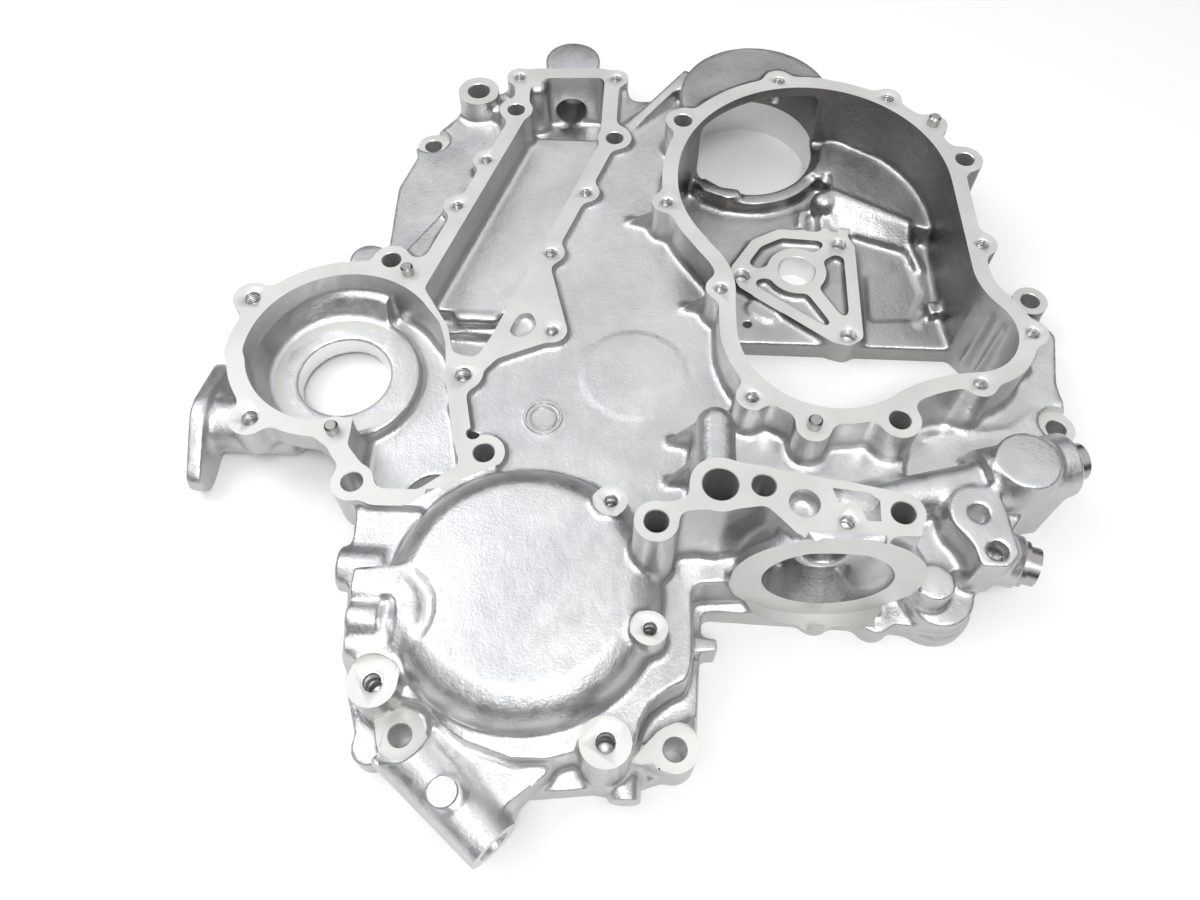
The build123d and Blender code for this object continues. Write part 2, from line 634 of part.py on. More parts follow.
# Plugs in the ends of the drilled ways
side_plug_plane = Plane(origin=(*SIDE_PLUG, SIDE_PLUG_Z), z_dir=(*SIDE_PLUG_WAY, 0), x_dir=(0, 0, 1))
with BuildPart() as gallery_plugs:
    for seat in (gallery_end, side_plug_plane):
        with BuildSketch(seat.offset(WASHER)):
            Circle(PLUG_R)
        extrude(amount=PLUG_HEAD)
        with BuildSketch(seat.offset(WASHER)):
            Circle(PLUG_SHANK_R)
        extrude(amount=-(PLUG_SHANK + WASHER))
        with BuildSketch(seat.offset(WASHER + PLUG_HEAD)):
            RegularPolygon(PLUG_SOCKET / 2, 6, major_radius=False)
        extrude(amount=-PLUG_SOCKET_DEPTH, mode=Mode.SUBTRACT)
with BuildPart() as plug_washers:
    for seat in (gallery_end, side_plug_plane):
        with BuildSketch(seat):
            Circle(WASHER_R)
            Circle(PLUG_SHANK_R, mode=Mode.SUBTRACT)
        extrude(amount=WASHER)
with BuildPart() as plug_bores:
    for seat in (gallery_end, side_plug_plane):
        with BuildSketch(seat):
            Circle(PLUG_SHANK_R)
        extrude(amount=-(PLUG_SHANK + 6))
with BuildPart() as side_plug_boss:
    with BuildSketch(side_plug_plane):
        Circle(WASHER_R + 1.5)
    extrude(amount=-SIDE_PLUG_BOSS)

# Dowel pins that line up the two covers
with BuildPart() as dowel_pins:
    for places, face in ((DRIVE_DOWELS, DRIVE_Z), (PUMP_DOWELS, COOLANT_Z)):
        for place in places:
            column(place, DOWEL_R, face + DOWEL_STAND, face - DOWEL_SEAT)
    chamfer(dowel_pins.edges().filter_by(GeomType.CIRCLE), DOWEL_CHAMFER)

# Hollow at the back, between the outer walls, the pockets and the screw columns
CAVITY_Z = DECK_Z - WALL
with BuildSketch() as pocket_walls:
    offset(drive_window.sketch, amount=WALL)
    offset(trough.sketch, amount=WALL, mode=Mode.ADD)
    offset(bowl.sketch, amount=WALL, mode=Mode.ADD)
    with Locations(*COOLANT_TAPPED):
        Circle(TAP_LOBE_R)
    with Locations(*DRIVE_BOLTS, *COOLANT_BOLTS, *PUMP_BOLTS, *PUMP_TAPPED, TOWER_BOLT, *RIM_BOLTS):
        Circle(BOLT_R + COLUMN_WALL)
    with Locations(PUMP_C):
        Circle(PUMP_R + PUMP_WALL)
with BuildSketch() as deep_hollow:
    offset(deck_outline.sketch, amount=-WALL)
    add(pocket_walls.sketch, mode=Mode.SUBTRACT)
    with Locations(*CORNER_BOLTS, COOLER_END_BOLT, *COOLER_BOLTS, SIDE_BOSS):
        Circle(BOLT_R + COLUMN_WALL, mode=Mode.SUBTRACT)
    with Locations(COOLER_PORT):
        Circle(COOLER_PORT_R + COLUMN_WALL, mode=Mode.SUBTRACT)
    with Locations((FILTER_C[0], FILTER_FACE_Y)):
        Rectangle(2 * FILTER_R, 2 * (FILTER_BODY_LENGTH + WALL), mode=Mode.SUBTRACT)

with BuildSketch() as shoulder_hollow:
    offset(shoulder_outline.sketch, amount=-WALL)
    add(pocket_walls.sketch, mode=Mode.SUBTRACT)

# Ledge and raised step at the far end of the gear window
with BuildSketch() as ledge_outline:
    with Locations(PUMP_C):
        Circle(PUMP_LEDGE_R)
    with BuildLine():
        Polyline(*LEDGE, close=True)
    make_face()
    add(drive_window.sketch, mode=Mode.INTERSECT)

with BuildSketch() as idler_pad:
    with BuildLine():
        Polyline(*IDLER_PAD, close=True)
    make_face()
    fillet(vertices(), 4.0)
with BuildSketch() as idler_spokes:
    for screw in IDLER_SCREWS:
        with BuildLine():
            Line((0, 0), screw)
        trace(line_width=IDLER_SPOKE)
with BuildSketch() as idler_relief:
    offset(idler_pad.sketch, amount=-6.0)
    with Locations((0, 0)):
        Circle(IDLER_RING_R, mode=Mode.SUBTRACT)
    with Locations(*IDLER_SCREWS):
        Circle(8.0, mode=Mode.SUBTRACT)
    add(idler_spokes.sketch, mode=Mode.SUBTRACT)

# Foot of the pump bowl, tapering to the seal seat, and the pocket in it
with BuildPart() as bowl_foot:
    with BuildSketch(Plane.XY.offset(BOWL_RIM_Z)):
        with Locations(SEAL_C):
            Circle(BOWL_SKIRT_R)
    with BuildSketch(Plane.XY.offset(BOWL_Z - WALL)):
        with Locations(SEAL_C):
            Circle(BOWL_FOOT_R)
    loft()
    column(SEAL_C, BOWL_FOOT_R, BOWL_Z - WALL, BOWL_FOOT_Z)
with BuildPart() as bowl_pocket:
    with BuildSketch(Plane.XY.offset(BOWL_RIM_Z + 1)):
        with Locations(SEAL_C):
            Circle(BOWL_SKIRT_R - WALL)
    with BuildSketch(Plane.XY.offset(BOWL_Z)):
        with Locations(SEAL_C):
            Circle(SEAL_RING_R + 1.5)
    loft()
with BuildSketch() as volute_outline:
    add(bowl.sketch)
    with Locations((VOLUTE_SPLIT_X, 0)):
        Rectangle(400, 400, align=(Align.MAX, Align.CENTER), mode=Mode.SUBTRACT)

# Screw holes, tapped holes and the other round holes, each from its own face
with BuildPart() as drillings:
    for places, radius, top, depth in ((DRIVE_BOLTS, BOLT_R, DRIVE_Z, DRIVE_Z),
                                       (COOLANT_BOLTS, BOLT_R, COOLANT_Z, COOLANT_Z),
                                       (PUMP_BOLTS, BOLT_R, COOLANT_Z, COOLANT_Z),
                                       (RIM_BOLTS, BOLT_R, RIM_BOLT_Z, RIM_BOLT_Z),
                                       (CORNER_BOLTS, BOLT_R, RIM_BOLT_Z, RIM_BOLT_Z),
                                       (COOLER_BOLTS, BOLT_R, COOLER_Z, COOLER_Z),
                                       ([COOLER_END_BOLT], BOLT_R, COOLER_Z, COOLER_Z),
                                       ([COOLER_PORT], COOLER_PORT_R, COOLER_Z, COOLER_Z),
                                       ([TOWER_BOLT], TOWER_HOLE_R, TOWER_Z, TOWER_Z),
                                       ([(0, 0)], IDLER_R, PAD_Z, PAD_Z),
                                       ([FLOOR_HOLE], FLOOR_HOLE_R, WINDOW_FLOOR_Z, WINDOW_FLOOR_Z),
                                       (DRIVE_TAPPED, TAP_R, DRIVE_Z, TAP_DEPTH),
                                       (COOLANT_TAPPED, TAP_R, COOLANT_Z, TAP_DEPTH),
                                       (PUMP_TAPPED, BIG_TAP_R, COOLANT_Z, TAP_DEPTH),
                                       (COVER_BOSSES, TAP_R, COVER_BOSS_Z, TAP_DEPTH),
                                       ([TALL_BOSS], BIG_TAP_R, TALL_BOSS_Z, TAP_DEPTH),
                                       ([SIDE_BOSS], BIG_TAP_R, SIDE_BOSS_Z, TAP_DEPTH),
                                       ([COOLER_TAP], BIG_TAP_R, COOLER_Z, COOLER_TAP_DEPTH),
                                       ([COOLER_POCKET], COOLER_POCKET_R, COOLER_Z, COOLER_POCKET_DEPTH),
                                       (IDLER_SCREWS, IDLER_SCREW_R, PAD_Z, IDLER_SCREW_DEPTH),
                                       (SENDER, SENDER_HOLE_R, SENDER_Z, SENDER_DEPTH),
                                       ([VENT], VENT_R, COOLANT_Z, TAP_DEPTH),
                                       (DRIVE_DOWELS, DOWEL_R, DRIVE_Z, DOWEL_SEAT),
                                       (PUMP_DOWELS, DOWEL_R, COOLANT_Z, DOWEL_SEAT)):
        for place in places:
            column(place, radius, top + DRILL_START, top - depth)

# Spaces cored first: the hollow back, the dome and the gear window, open below the idler pad
with BuildPart() as back_cores:
    add(deep_hollow.sketch)
    extrude(amount=CAVITY_Z)
    add(shoulder_hollow.sketch)
    extrude(amount=SHOULDER_Z - SHOULDER_ROOF)
    column(DOME_C, DOME_TOP_R - WALL, DOME_Z - WALL)
with BuildPart() as window_cores:
    with BuildSketch(Plane.XY.offset(WINDOW_FLOOR_Z)):
        add(drive_window.sketch)
    extrude(amount=DRIVE_Z)
    with BuildSketch():
        add(drive_window.sketch)
        with Locations((0, FLOOR_EDGE_Y)):
            Rectangle(400, 300, align=(Align.CENTER, Align.MIN), mode=Mode.SUBTRACT)
    extrude(amount=WINDOW_FLOOR_Z)
    with BuildSketch(Plane.XY.offset(WINDOW_FLOOR_Z - FLOOR_PANEL_DEPTH)):
        with BuildLine():
            Polyline(*FLOOR_PANEL, close=True)
        make_face()
        fillet(vertices(), 3.0)
    extrude(amount=DRIVE_Z)
    with BuildSketch():
        offset(drive_window.sketch, amount=-FLOOR_UNDERCUT)
        with Locations((0, FLOOR_EDGE_Y + WALL)):
            Rectangle(400, 300, align=(Align.CENTER, Align.MAX), mode=Mode.SUBTRACT)
        with Locations((0, 0)):
            Circle(IDLER_RING_R, mode=Mode.SUBTRACT)
    extrude(amount=WINDOW_FLOOR_Z - WINDOW_FLOOR)

# Metal that stands inside those spaces, and the foot of the bowl
with BuildPart() as inner_metal:
    add(idler_pad.sketch)
    extrude(amount=PAD_Z)
    with BuildSketch(Plane.XY.offset(WINDOW_FLOOR_Z)):
        add(idler_relief.sketch)
    extrude(amount=PAD_Z, mode=Mode.SUBTRACT)
    with BuildSketch(Plane.XY.offset(WINDOW_FLOOR_Z - WINDOW_FLOOR)):
        with Locations(BUTTON_C):
            SlotOverall(*BUTTON_SIZE, rotation=BUTTON_TURN)
    extrude(amount=WINDOW_FLOOR + BUTTON_RISE)
    add(ledge_outline.sketch)
    extrude(amount=PUMP_LEDGE_Z)

# Spaces cored last: pump bore, coolant trough with its thermostat pocket, pump bowl and volute
with BuildPart() as front_cores:
    column(PUMP_C, PUMP_R, PUMP_Z - PUMP_WALL)
    with BuildSketch(Plane.XY.offset(TROUGH_FLOOR_Z)):
        add(trough.sketch)
    extrude(amount=COOLANT_Z)
    with BuildSketch():
        offset(trough.sketch, amount=-FLOOR_UNDERCUT)
        with Locations((0, THERMOSTAT_Y - WALL)):
            Rectangle(600, 400, align=(Align.CENTER, Align.MIN), mode=Mode.SUBTRACT)
        with Locations((0, TROUGH_TIP_Y + WALL)):
            Rectangle(600, 400, align=(Align.CENTER, Align.MAX), mode=Mode.SUBTRACT)
    extrude(amount=TROUGH_FLOOR_Z - WALL)
    with BuildSketch(Plane.XY.offset(TROUGH_TIP_Z)):
        add(trough.sketch)
        with Locations((0, TROUGH_TIP_Y)):
            Rectangle(600, 400, align=(Align.CENTER, Align.MIN), mode=Mode.SUBTRACT)
    extrude(amount=COOLANT_Z)
    with BuildSketch(Plane.XY.offset(THERMOSTAT_Z)):
        add(trough.sketch)
        with Locations((0, THERMOSTAT_Y)):
            Rectangle(600, 400, align=(Align.CENTER, Align.MAX), mode=Mode.SUBTRACT)
    extrude(amount=COOLANT_Z)
    with BuildSketch(Plane(origin=(OUTLET_C[0], OUTLET_Y[0], OUTLET_C[1]), x_dir=(1, 0, 0), z_dir=(0, 1, 0))):
        Circle(OUTLET_R)
    extrude(amount=OUTLET_Y[1] - OUTLET_Y[0])
    with BuildSketch(Plane.XY.offset(DECK_Z)):
        with BuildLine():
            Polyline(*WEB_WINDOW, close=True)
        make_face()
        fillet(vertices(), 1.5)
    extrude(amount=COOLANT_Z)
    with BuildSketch(Plane.XY.offset(COOLER_Z - COOLER_POCKET_DEPTH)):
        with BuildLine():
            Polyline(*L_POCKET, close=True)
        make_face()
        fillet(vertices(), 1.2)
    extrude(amount=COOLER_Z)
with BuildPart() as bowl_cores:
    with BuildSketch(Plane.XY.offset(BOWL_RIM_Z)):
        add(bowl.sketch)
    extrude(amount=COOLANT_Z)
    add(bowl_pocket.part)
    with BuildSketch(Plane.XY.offset(BOWL_Z)):
        add(volute_outline.sketch)
    extrude(amount=COOLANT_Z)
    with BuildSketch(Plane.XY.offset(VOLUTE_Z)):
        add(volute_outline.sketch)
        with Locations(SEAL_C):
            Circle(SEAL_RING_R + 3, mode=Mode.SUBTRACT)
    extrude(amount=COOLANT_Z)
    column(SEAL_C, SEAL_R, BOWL_Z + 1)
    column(VOLUTE_PORT_C, VOLUTE_PORT_R, VOLUTE_Z + 1)

with BuildPart() as gear_case:
    add(blank.part)
    add(fins.part)
    add(dome.part)
    add(flank_ports.part)
    add(nozzle.part)
    add(drain.part)
    add(filter_body.part)
    add(gallery.part)
    add(side_plug_boss.part)
    add(back_cores.part, mode=Mode.SUBTRACT)
    add(window_cores.part, mode=Mode.SUBTRACT)
    add(inner_metal.part)
    add(bowl_foot.part)
    add(inlet.part)
    add(front_cores.part, mode=Mode.SUBTRACT)
    add(bowl_cores.part, mode=Mode.SUBTRACT)
    add(filter_space.part, mode=Mode.SUBTRACT)
    add(filter_thread.part, mode=Mode.SUBTRACT)
    add(nozzle_bore.part, mode=Mode.SUBTRACT)
    add(drain_bore.part, mode=Mode.SUBTRACT)
    add(plug_bores.part, mode=Mode.SUBTRACT)
    add(drillings.part, mode=Mode.SUBTRACT)

os.makedirs("parts", exist_ok=True)
gear_case.part.label = "gear_case"
export_step(gear_case.part, "parts/gear_case.step")
dowel_pins.part.label = "dowel_pins"
export_step(dowel_pins.part, "parts/dowel_pins.step")
gallery_plugs.part.label = "gallery_plugs"
export_step(gallery_plugs.part, "parts/gallery_plugs.step")
plug_washers.part.label = "plug_washers"
export_step(plug_washers.part, "parts/plug_washers.step")
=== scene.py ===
import math

import bmesh
import bpy
import numpy as np
import openvdb
from mathutils import Matrix, Vector


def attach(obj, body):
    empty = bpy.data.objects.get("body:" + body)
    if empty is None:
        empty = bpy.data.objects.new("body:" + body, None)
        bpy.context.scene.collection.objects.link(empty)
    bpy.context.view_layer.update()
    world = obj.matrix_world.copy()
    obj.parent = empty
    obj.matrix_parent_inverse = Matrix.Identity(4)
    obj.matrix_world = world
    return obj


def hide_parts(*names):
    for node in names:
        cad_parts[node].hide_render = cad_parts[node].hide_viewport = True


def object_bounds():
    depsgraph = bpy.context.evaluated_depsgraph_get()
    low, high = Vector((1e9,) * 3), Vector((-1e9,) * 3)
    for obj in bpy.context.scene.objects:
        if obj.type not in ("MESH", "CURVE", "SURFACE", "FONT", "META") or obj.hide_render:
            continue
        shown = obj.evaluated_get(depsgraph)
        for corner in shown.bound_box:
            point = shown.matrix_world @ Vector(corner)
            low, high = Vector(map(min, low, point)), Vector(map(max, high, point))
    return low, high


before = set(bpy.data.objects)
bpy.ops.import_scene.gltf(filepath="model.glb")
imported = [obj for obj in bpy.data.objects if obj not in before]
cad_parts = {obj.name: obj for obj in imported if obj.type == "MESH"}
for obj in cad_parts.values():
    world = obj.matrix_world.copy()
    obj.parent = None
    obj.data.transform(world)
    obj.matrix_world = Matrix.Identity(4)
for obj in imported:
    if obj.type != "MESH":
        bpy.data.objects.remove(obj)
cad_low, cad_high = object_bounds()


# The view of the photograph: a camera 0.39 m above the table, just beyond the lower edge of
# the case, looking down and away from it, with the lens that the perspective gives.
camera_data = bpy.data.cameras.new("camera")
camera_data.sensor_width = 36.0
camera_data.lens = 28.44
camera_data.clip_start = 0.01
camera = bpy.data.objects.new("camera", camera_data)
view_right = (0.99901, 0.04447, 0.0005)
view_down = (0.03865, -0.86254, -0.50451)
view_forward = (-0.02201, 0.50403, -0.86341)
view_from = (-0.086275, -0.327811, 0.386)
rows = [[view_right[i], -view_down[i], -view_forward[i], view_from[i]] for i in range(3)]
camera.matrix_world = Matrix(rows + [[0, 0, 0, 1]])
bpy.context.scene.collection.objects.link(camera)
bpy.context.scene.camera = camera


# The raw casting. It is one aluminium pressure die casting, poured with a few millimetres
# of stock on every face that is milled later, and with soft inner corners and worn die edges.
# Its finishes are the die's skin, and the milled and bored faces that the next sections cut.
class Socket:
    """Output of a node, with arithmetic that adds Math nodes."""

    def __init__(self, tree, socket):
        self.tree = tree
        self.socket = socket

    def _math(self, operation, *values):
        return self.tree.node("ShaderNodeMath", {"operation": operation}, *values)

    def __add__(self, other):
        return self._math("ADD", self, other)

    __radd__ = __add__

    def __sub__(self, other):
        return self._math("SUBTRACT", self, other)

    def __rsub__(self, other):
        return self._math("SUBTRACT", other, self)

    def __mul__(self, other):
        return self._math("MULTIPLY", self, other)

    __rmul__ = __mul__

    def output(self, name):
        """Another output of the same node."""
        return Socket(self.tree, self.socket.node.outputs[name])

    def between(self, low, high):
        """0 below low, 1 above high and smooth in between."""
        sockets = {"Value": self, "From Min": low, "From Max": high}
        return self.tree.node("ShaderNodeMapRange", {"interpolation_type": "SMOOTHSTEP"}, sockets)


class Tree:
    """Node tree, emptied first. All its nodes come from one method."""

    def __init__(self, tree):
        self.tree = tree
        self.tree.nodes.clear()

    def node(self, kind, settings, *values, out=0):
        """Adds a node, sets it and its sockets, by place or by name, and returns its output."""
        node = self.tree.nodes.new(kind)
        for name, value in settings.items():
            if name == "stops":
                self._set_stops(node.color_ramp.elements, value)
            else:
                setattr(node, name, value)
        sockets = {}
        for place, value in enumerate(values):
            sockets.update(value if isinstance(value, dict) else {place: value})
        for key, value in sockets.items():
            if isinstance(value, Socket):
                self.tree.links.new(value.socket, node.inputs[key])
            else:
                node.inputs[key].default_value = value
        return Socket(self, node.outputs[out]) if len(node.outputs) else None

    @staticmethod
    def _set_stops(ramp, stops):
        """Places and colours of a ramp, which starts with two stops."""
        for i, (position, colour) in enumerate(stops):
            stop = ramp[i] if i < 2 else ramp.new(position)
            stop.position = position
            stop.color = colour


class Finish(Tree):
    """Material with noise on the object's own coordinates, so that the grain stays on the metal."""

    def __init__(self, name):
        self.material = bpy.data.materials.new(name)
        self.material.use_nodes = True
        super().__init__(self.material.node_tree)

    def place(self):
        return self.node("ShaderNodeTexCoord", {}, out="Object")

    def noise(self, scale, detail=3.0, roughness=0.5, stretch=(1.0, 1.0, 1.0)):
        stretched = self.node("ShaderNodeMapping", {}, {"Vector": self.place(), "Scale": stretch})
        sockets = {"Vector": stretched, "Scale": scale, "Detail": detail, "Roughness": roughness}
        return self.node("ShaderNodeTexNoise", {}, sockets)

    def mix(self, factor, first, second):
        """Colour between two colours. The node's colour sockets are known by place."""
        return self.node("ShaderNodeMix", {"data_type": "RGBA"}, {0: factor, 6: first, 7: second}, out=2)

    def facing_up(self):
        """How far the surface faces up on the object: 1 on a floor, 0 on a wall."""
        normal = self.node("ShaderNodeTexCoord", {}, out="Normal")
        up = (0.0, 0.0, 1.0)
        return self.node("ShaderNodeVectorMath", {"operation": "DOT_PRODUCT"}, normal, up, out="Value")

    def split(self):
        """Place on the object to the right and away from the viewer, in metres."""
        across = self.node("ShaderNodeSeparateXYZ", {}, self.place(), out="X")
        return across, across.output("Y")

    def surface(self, bump=None, **sockets):
        """Principled surface of the finish. Names are the shader's sockets with _ for a space."""
        values = {name.replace("_", " "): value for name, value in sockets.items()}
        if bump is not None:
            height, strength, distance = bump
            relief = {"Height": height, "Strength": strength, "Distance": distance}
            values["Normal"] = self.node("ShaderNodeBump", {}, relief)
        shader = self.node("ShaderNodeBsdfPrincipled", {}, values)
        self.node("ShaderNodeOutputMaterial", {}, {"Surface": shader})
        return self.material


# Skin of the die, with painted light and shade: walls painted darker than floors, floors painted lighter,
# and both painted darker inside the gear window as shade
SHADED_WALL_COLOUR = (0.50, 0.50, 0.495, 1)
WINDOW_SHADED_WALL_COLOUR = (0.20, 0.195, 0.19, 1)
LIT_FLOOR_COLOURS = (0.60, 0.603, 0.615, 1), (0.74, 0.745, 0.755, 1)
WINDOW_SHADED_FLOOR_COLOURS = (0.44, 0.44, 0.445, 1), (0.54, 0.54, 0.545, 1)
SHADE_WINDOW_LEFT = (-0.066, -0.056)
SHADE_WINDOW_BOTTOM = (-0.055, -0.035)
SHADE_WINDOW_TOP = (0.118, 0.122)
SHADE_TO_LIGHT_FACING = (0.05, 0.85)

cast = Finish("as_cast_aluminium_painted_light")
grain = cast.noise(900.0, 4.0, 0.6)
cloud = cast.noise(22.0, 4.0, 0.55)
flow = cast.noise(60.0, 3.0, 0.5, (1.0, 0.35, 1.0))
speck = cast.noise(160.0, 3.0, 0.65, (1.0, 0.6, 1.0))
across, along = cast.split()
# Painted shade: a box mask over the gear window, inside which walls and floors are coloured darker
window_shade_mask = (along.between(*SHADE_WINDOW_BOTTOM) * across.between(*SHADE_WINDOW_LEFT)
             * (1.0 - along.between(*SHADE_WINDOW_TOP)))
clouds = cloud.between(0.38, 0.62)
# Painted shade: walls take a darker colour than floors
shaded_wall_tone = cast.mix(window_shade_mask, SHADED_WALL_COLOUR, WINDOW_SHADED_WALL_COLOUR)
# Painted light: up-facing floors take lighter colours, varied by random clouds and specks of real tone
lit_floor_tone = cast.mix(clouds * 0.7 + speck.between(0.35, 0.65) * 0.3, *LIT_FLOOR_COLOURS)
# Painted shade: the floor colours inside the gear window, darker than the floors outside it, with random
# clouds of tone
window_shaded_floor_tone = cast.mix(clouds, *WINDOW_SHADED_FLOOR_COLOURS)
# Painted light and shade: surfaces facing up get the lit floor colours, walls the shaded wall colours
cast_tone_and_painted_light = cast.mix(cast.facing_up().between(*SHADE_TO_LIGHT_FACING), shaded_wall_tone,
                     cast.mix(window_shade_mask, lit_floor_tone, window_shaded_floor_tone))
cast_relief = (grain * 0.5 + flow * 0.8 + speck * 0.8, 0.5, 0.0007)
as_cast_aluminium_painted_light = cast.surface(bump=cast_relief, Base_Color=cast_tone_and_painted_light, Metallic=1.0,
                                 Roughness=0.30 + 0.12 * speck.between(0.3, 0.7) + 0.06 * grain)

milled = Finish("milled_aluminium")
swirl = milled.noise(450.0, 3.0, 0.6)
stains = milled.noise(35.0, 3.0, 0.5).between(0.3, 0.7)
milled_tone = milled.mix(stains, (0.63, 0.63, 0.61, 1), (0.72, 0.72, 0.70, 1))
milled_aluminium = milled.surface(bump=(swirl, 0.15, 0.0002), Base_Color=milled_tone, Metallic=0.55,
                                  Roughness=0.46 + 0.1 * stains)

bored = Finish("bored_aluminium")
rings = bored.noise(300.0, 2.0, 0.5, (0.2, 0.2, 6.0))
bored_aluminium = bored.surface(bump=(rings, 0.2, 0.0002), Base_Color=(0.80, 0.805, 0.80, 1),
                                Metallic=0.9, Roughness=0.28 + 0.1 * rings)

# Sizes in millimetres. The distance field reaches FIELD_REACH grid steps from the surface.
MM = 0.001
VOXEL = 0.85
FIELD_REACH = 5.0
GRID_MARGIN = 6.0
WINDOW_MARGIN = 4
STOCK = 2.5
ROUNDING = 0.7
FILLET = 2.0
SKIN_TRIANGLES = 125000
ON_FACE = 0.01
EVERYWHERE = 1e9

# Heights of the milled faces over the rear joint face
COVER_Z = 50.0
CORNER_Z = 40.0
COOLANT_Z = 38.0
DRIVE_Z = 54.0
COOLER_Z = 76.0
PAD_Z = 14.0
RIM_Z = 22.0

# Faces that are milled: an outline that covers that face and nothing higher
DRIVE_FACE = [(-80, 125), (105, 125), (112, -60), (106, -120), (-10, -131), (-37, -118), (-62, -60),
              (-86, 0)]
COOLANT_FACE = [(-159.5, 125), (-86, 125), (-84, 60), (-95, 20), (-110, -70), (-132, -120),
                (-134, -131.5), (-142, -136.5), (-151, -141.0), (-162, -146.5), (-172, -154.0),
                (-190, -158), (-215, -158), (-275, -130), (-290, -30), (-210, 0), (-180, 20),
                (-159.5, 70)]
COOLER_FACE = [(-90, -140), (35, -140), (35, -190), (10, -190), (10, -178.8), (-18, -178.8),
               (-18, -190), (-90, -190)]
PAD_FACE = [(-37, 0), (-24, 23), (-9, 31), (29, 29), (34, 19), (33, -43), (24, -50.5), (13, -48),
            (-33, -13)]
REAR_FACE = [(-320, 180), (180, 180), (180, -340), (-320, -340)]
LEFT_TAIL = [(-172.0, -236.5), (-176.5, -238.5), (-172.5, -250.5), (-165.5, -252.6),
             (-149.0, -249.5), (-156.5, -242.0), (-160.0, -236.0)]
RIGHT_TAIL = [(-68.0, -237.5), (-79.0, -250.5), (-69.5, -250.5), (-61.0, -253.3), (-58.0, -237.0)]
FLAT_FACES = [(RIM_Z, LEFT_TAIL), (RIM_Z, RIGHT_TAIL), (DRIVE_Z, DRIVE_FACE),
              (COOLANT_Z, COOLANT_FACE), (COOLER_Z, COOLER_FACE), (PAD_Z, PAD_FACE)]

# Round bosses with a spot face: centre, radius and height
BOSS_FACES = [((-195, 73), 8.5, RIM_Z), ((111.2, -21.3), 8.5, RIM_Z), ((109.4, -95.1), 8.5, RIM_Z),
              ((-165.7, -243.5), 9.3, RIM_Z), ((-61.6, -244.2), 9.3, RIM_Z),
              ((-170.8, 96.9), 11.0, CORNER_Z), ((-175.1, -228.9), 9.6, CORNER_Z),
              ((-87.7, -249.1), 9.4, COVER_Z), ((-89.4, -154.5), 6.8, COVER_Z),
              ((-73.0, -207.0), 6.8, COVER_Z)]
BOSS_MARGIN = 0.2
FILTER_FACE = (-3.8, -180.8, 41.0)
FILTER_FACE_R = 37.4
FILTER_MARGIN = 0.5
NOZZLE_END = (-126.0, -281.0, 22.5)
NOZZLE_WAY = (0.739, -0.674, 0.0)
NOZZLE_R = 12.0


def cad_copy(node):
    """Closed copy of a CAD node's mesh, in millimetres, as points and triangles."""
    mesh = bmesh.new()
    mesh.from_mesh(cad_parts[node].data)
    bmesh.ops.remove_doubles(mesh, verts=mesh.verts, dist=1e-6)
    bmesh.ops.triangulate(mesh, faces=mesh.faces)
    points = np.array([v.co for v in mesh.verts], np.float32) / MM
    triangles = np.array([[v.index for v in f.verts] for f in mesh.faces], np.uint32)
    mesh.free()
    return points, triangles


def within(points, outline):
    """Which points lie inside an outline, seen from above."""
    inside = np.zeros(len(points), bool)
    for (ax, ay), (bx, by) in zip(outline, outline[1:] + outline[:1]):
        crosses = (points[:, 1] > ay) != (points[:, 1] > by)
        with np.errstate(divide="ignore", invalid="ignore"):
            inside ^= crosses & (points[:, 0] < (bx - ax) * (points[:, 1] - ay) / (by - ay) + ax)
    return inside


def level_set(points, low, shape, **faces):
    """Distance to the surface in millimetres on a grid of VOXEL spacing, negative inside."""
    spacing = openvdb.createLinearTransform(voxelSize=VOXEL)
    grid = openvdb.FloatGrid.createLevelSetFromPolygons(points - low, transform=spacing,
                                                        halfWidth=FIELD_REACH, **faces)
    field = np.empty(shape, np.float32)
    grid.copyToArray(field)
    return field


def skin_of(field, level, low):
    """Points and quads of the surface where the distance is level."""
    grid = openvdb.FloatGrid(FIELD_REACH * VOXEL)
    grid.copyFromArray(field)
    grid.transform = openvdb.createLinearTransform(voxelSize=VOXEL)
    points, quads = grid.convertToQuads(isovalue=level)
    return points + low, quads


def blurred(field, sigma):
    """Gaussian blur along the three axes, sigma in grid steps."""
    reach = max(1, int(round(2.5 * sigma)))
    weights = np.exp(-0.5 * (np.arange(-reach, reach + 1) / sigma) ** 2)
    weights /= weights.sum()
    for axis in range(3):
        margins = [(reach, reach) if a == axis else (0, 0) for a in range(3)]
        padded = np.pad(field, margins, mode="edge")
        total = np.zeros_like(field)
        for k, weight in enumerate(weights):
            part = [slice(None)] * 3
            part[axis] = slice(k, k + field.shape[axis])
            total += np.float32(weight) * padded[tuple(part)]
        field = total
    return field


casting_points, casting_triangles = cad_copy("gear_case")
drawn_points = casting_points.copy()


def at_height(level):
    """Which points of the drawing lie at a height."""
    return np.abs(drawn_points[:, 2] - level) < ON_FACE


